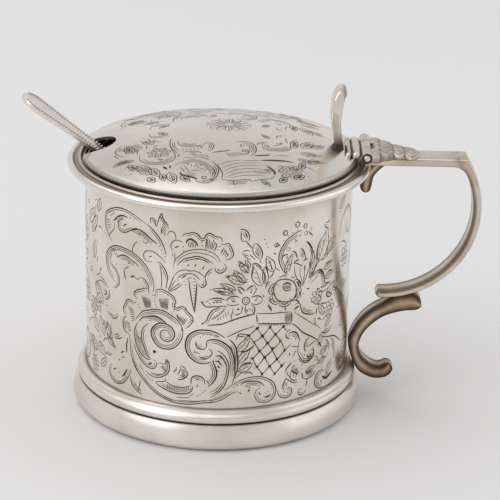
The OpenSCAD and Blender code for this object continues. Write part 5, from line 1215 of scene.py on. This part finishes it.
# To the eye: a tan mirror with brown clouds, bright only along the middle of each face as a painted highlight, with
# brown tarnish and painted shade on the rest.
tarnished_silver = silver("sterling_silver_cast_with_brown_tarnish", "#dcc8b1", "#b0967b", "#3a2a1c", rough=0.17,
                          cloud_mm=5)
branch_half, branch_corner = 2.4, 0.6
spur_out = even([(38.8, 64.0), (36.7, 61.8), (35.3, 59.2), (34.75, 56.9), (35.3, 55.0)], 40)
spur_in = even([(41.6, 62.9), (39.7, 61.5), (38.1, 59.5), (37.6, 57.1), (37.1, 55.0)], 40)
points, faces = bar(*blunt(spur_out, spur_in, branch_half, 1.1), branch_corner)
# A painted highlight along the middle of each face; tarnish and painted shade on the corners.
put("handle_spur", points, faces, tarnished_silver, "pot", "cast_silver", np.where(face_middle_highlight(points), 0.2, 0.85))

# ---------------------------------------------------------------- handle lower scroll
# A cast scroll under the strap's end: a block soldered to the strap, a bow that touches the drum, and a short
# thickened end that turns up.
# The block's top follows the outside of the strap's sweep and sinks 0.05 mm into it.
block_x = np.array([48.8, 47, 44.6])
block_top = np.stack([block_x, sweep_z - np.sqrt((out_r - 0.05) ** 2 - (block_x - sweep_x) ** 2)], -1)
scroll_out = even(np.vstack([[(51.35, 25.5), (51.2, 26.7), (50.4, 27.9)], block_top,
                             [(41.2, 25.7), (38.8, 24.2), (36.2, 21.7), (34.4, 18.7), (33.3, 15.6), (33.7, 12.6),
                              (34.8, 9.6), (36.3, 7.2), (38.7, 5.75), (41.2, 5.3), (43.5, 5.9), (44.8, 7.4),
                              (44.9, 8.8)]]), 110)
scroll_in = even([(51.3, 25.3), (50.8, 24.6), (49.8, 24.2), (47.5, 24.0), (44.8, 23.4), (41.6, 22.1), (38.7, 19.7),
                  (36.9, 17.3), (36.0, 14.6), (36.3, 12.5), (37.4, 10.7), (39.1, 9.3), (40.9, 8.6), (42.2, 8.9),
                  (43.0, 9.6)], 110)
points, faces = bar(*blunt(scroll_out, scroll_in, branch_half, 0.9), branch_corner)
# A painted highlight along the middle of each face; tarnish and painted shade on the corners.
put("handle_lower_scroll", points, faces, tarnished_silver, "pot", "cast_silver",
    np.where(face_middle_highlight(points), 0.05, 0.88))

# ---------------------------------------------------------------- spoon
# A forged silver spoon with a round bowl: a flat stem, its edges beaded up to a rounded end, bent down inside
# the pot. It stands loose in the lid's notch.
spoon_way, slope, seat = np.radians(181), np.radians(36.8), np.array([29.7, 64.6])
stem_over, stem_under, tip_half = 0.5, 0.8, 4.2
heading = np.array([np.cos(slope), np.sin(slope)])
stem_line = np.vstack([seat + np.linspace(22.6, -25, 60)[:, None] * heading, arc(27.65, 25.6, 30, 126.8, 150, 14)[1:],
                       np.linspace((1.67, 40.6), (-8.2, 23.5), 20)[1:]])
run = run_along(stem_line)
stem_half = np.where(run < tip_half, tip_half * np.sqrt(np.clip(1 - ((run - tip_half) / tip_half) ** 2, 0.02, 1)),
                     np.interp(run, [tip_half, 7, 12, 18, 26, 48, 62, 78],
                               [tip_half, 3.95, 3.1, 2.4, 1.9, 1.55, 1.45, 1.7]))
way = headings(stem_line)
stem_up = np.stack([way[:, 1], -way[:, 0]], -1)
stem_top = stem_line + stem_over * stem_up
stem = bar(stem_top, stem_line - stem_under * stem_up, stem_half, 0.4)


def beads(places, ups, radius):
    """A row of beads: on each place a ball of eight by six points, cos a cos b, sin a cos b and sin b times the
    radius, that stands along its own up."""
    around, levels = 8, 6
    a, b = np.meshgrid(np.linspace(0, 2 * np.pi, around, endpoint=False),
                       np.linspace(-np.pi / 2, np.pi / 2, levels), indexing="ij")
    ball = np.stack([np.cos(a) * np.cos(b), np.sin(a) * np.cos(b), np.sin(b)], -1).reshape(-1, 3) * radius
    side = np.cross(ups, [0, 1, 0])
    points = (places[:, None] + ball[:, :1] * side[:, None] + ball[:, 1:2] * np.array([0, 1, 0])
              + ball[:, 2:] * ups[:, None])
    faces = np.array(weave(around, levels, True, False)) + len(ball) * np.arange(len(places))[:, None, None]
    return points.reshape(-1, 3), faces.reshape(-1, 4).tolist()


bead_inset, stem_bead_r = 0.32, 0.35
rail_run = np.r_[np.arange(1.2, tip_half, 0.7), np.arange(4.7, 60, 0.8)]
rail = np.stack([np.interp(rail_run, run, c) for c in (*stem_top.T, stem_half, *stem_up.T)], -1)
left = np.column_stack([rail[:, 0], rail[:, 2] - bead_inset, rail[:, 1]])
rail_up = np.column_stack([rail[:, 3], 0 * rail[:, 3], rail[:, 4]])
beading = beads(np.vstack([left, left * [1, -1, 1]]), np.vstack([rail_up, rail_up]), stem_bead_r)
bowl_slope, bowl_place, bowl_ball, bowl_sink, bowl_t = np.radians(50), [-12.79, 18.51], 10.03, 5.325, 0.9
ball_turn = np.linspace(0, np.arccos(bowl_sink / bowl_ball), 16)
shell = np.vstack([np.stack([bowl_ball * np.sin(ball_turn), bowl_sink - bowl_ball * np.cos(ball_turn)], -1),
                   [(8.2, 0.12)], np.stack([(bowl_ball - bowl_t) * np.sin(ball_turn[::-1]),
                                            bowl_sink - (bowl_ball - bowl_t) * np.cos(ball_turn[::-1])], -1)])
bowl_points, bowl_faces = lathe(shell, 72)
bowl_xz = spun(bowl_points[:, [0, 2]], bowl_slope) + bowl_place
bowl = np.column_stack([bowl_xz[:, 0], bowl_points[:, 1], bowl_xz[:, 1]]), bowl_faces
points, faces = join(stem, beading, bowl)
bead_stain = np.resize([0, 0.6, 0.6, 0.4, 0, 0], len(beading[0]))
put("mustard_spoon", np.column_stack([spun(points[:, :2], spoon_way), points[:, 2]]), faces, turned_silver,
    "spoon", "silver", np.r_[np.zeros(len(stem[0])), bead_stain, np.zeros(len(bowl_points))])

# ---------------------------------------------------------------- studio
# The photographer's table: a sheet of pale matt paper in a soft even room with three softboxes,
# and the camera at the photograph's place.
# To the eye: the paper is an even pale grey, with a barely seen cloud a quarter of a metre wide.
paper = blank("matt_paper_floor")
tree, paper_cloud_mm = paper.node_tree, 250
place = add_node(tree, "ShaderNodeTexCoord").outputs["Object"]
cloud = add_node(tree, "ShaderNodeTexNoise", (), {"Vector": place, "Scale": 1000 / paper_cloud_mm, "Detail": 3.0})
tone = add_node(tree, "ShaderNodeMix", {"data_type": "RGBA"},
                {0: cloud.outputs[0], 6: linear("#e7e6e6"), 7: linear("#e3e2e2")})
matt = add_node(tree, "ShaderNodeBsdfDiffuse", (), {"Color": tone.outputs[2]})
add_node(tree, "ShaderNodeOutputMaterial", (), {"Surface": matt.outputs[0]})
mesh = bpy.data.meshes.new("floor")
mesh.from_pydata([(-3, -3, 0), (3, -3, 0), (3, 3, 0), (-3, 3, 0)], [], [(0, 1, 2, 3)])
mesh.materials.append(paper)
floor = bpy.data.objects.new("floor", mesh)
bpy.context.scene.collection.objects.link(floor)

# What the camera, gloss and glass see of the room is a grey that darkens upwards; its diffuse light is even.
world = bpy.data.worlds.new("soft_room")
bpy.context.scene.world = world
world.use_nodes = True
tree = world.node_tree
tree.nodes.clear()
height = add_node(tree, "ShaderNodeSeparateXYZ", (), {0: add_node(tree, "ShaderNodeTexCoord").outputs["Generated"]})
rise = add_node(tree, "ShaderNodeMapRange", {"interpolation_type": "SMOOTHSTEP"},
                {0: height.outputs["Z"], 1: 0.25, 2: 0.9})
room = add_node(tree, "ShaderNodeMix", {"data_type": "RGBA"},
                {0: rise.outputs[0], 6: linear("#dcdbda"), 7: linear("#c2c2c2")})
plain = add_node(tree, "ShaderNodeBackground", (), {"Color": room.outputs[2], "Strength": 1.0})
lit = add_node(tree, "ShaderNodeBackground", (), {"Color": linear("#e6e6e6"), "Strength": 0.8})
ray = add_node(tree, "ShaderNodeLightPath")
seen = add_node(tree, "ShaderNodeMath", {"operation": "MAXIMUM"},
                {0: ray.outputs["Is Camera Ray"], 1: ray.outputs["Is Glossy Ray"]})
shown = add_node(tree, "ShaderNodeMath", {"operation": "MAXIMUM"},
                 {0: seen.outputs[0], 1: ray.outputs["Is Transmission Ray"]})
mixed = add_node(tree, "ShaderNodeMixShader", (), {0: shown.outputs[0], 1: lit.outputs[0], 2: plain.outputs[0]})
add_node(tree, "ShaderNodeOutputWorld", (), {"Surface": mixed.outputs[0]})


def stand(name, data, place, right, up):
    """A lamp or camera at a place: its axes are right, up, and their cross product, which points backwards."""
    made = bpy.data.objects.new(name, data)
    axes = Matrix(np.column_stack([right, up, np.cross(right, up)])).to_4x4()
    made.matrix_world = Matrix.Translation(place) @ axes
    bpy.context.scene.collection.objects.link(made)
    return made


for name, place, size, power in (("softbox_above", (-0.35, 0.1, 1.3), 1.8, 7.4),
                                 ("softbox_left", (-0.8, -0.6, 0.8), 0.8, 2.1),
                                 ("softbox_right", (0.9, -0.1, 0.5), 1.0, 1.1)):
    lamp = bpy.data.lights.new(name, "AREA")
    lamp.shape, lamp.size, lamp.energy = "SQUARE", size, power
    back = np.array(place) - [0, 0, 0.04]  # from the drum's middle to the lamp
    back /= np.linalg.norm(back)
    side = np.cross([0, 0, 1], back)
    side /= np.linalg.norm(side)
    stand(name, lamp, place, side, np.cross(back, side))

view_down, view_roll, view_from = np.radians(20.756), np.radians(1.199), (0.0079916, -0.48625, 0.222984)
level, climb = np.array([1, 0, 0]), np.array([0, np.sin(view_down), np.cos(view_down)])
right = np.cos(view_roll) * level + np.sin(view_roll) * climb
up = np.cos(view_roll) * climb - np.sin(view_roll) * level
lens = bpy.data.cameras.new("camera")
lens.lens, lens.sensor_width, lens.clip_end = 149.70, 36.0, 50
bpy.context.scene.camera = stand("camera", lens, view_from, right, up)
bpy.context.scene.view_settings.view_transform = "Standard"
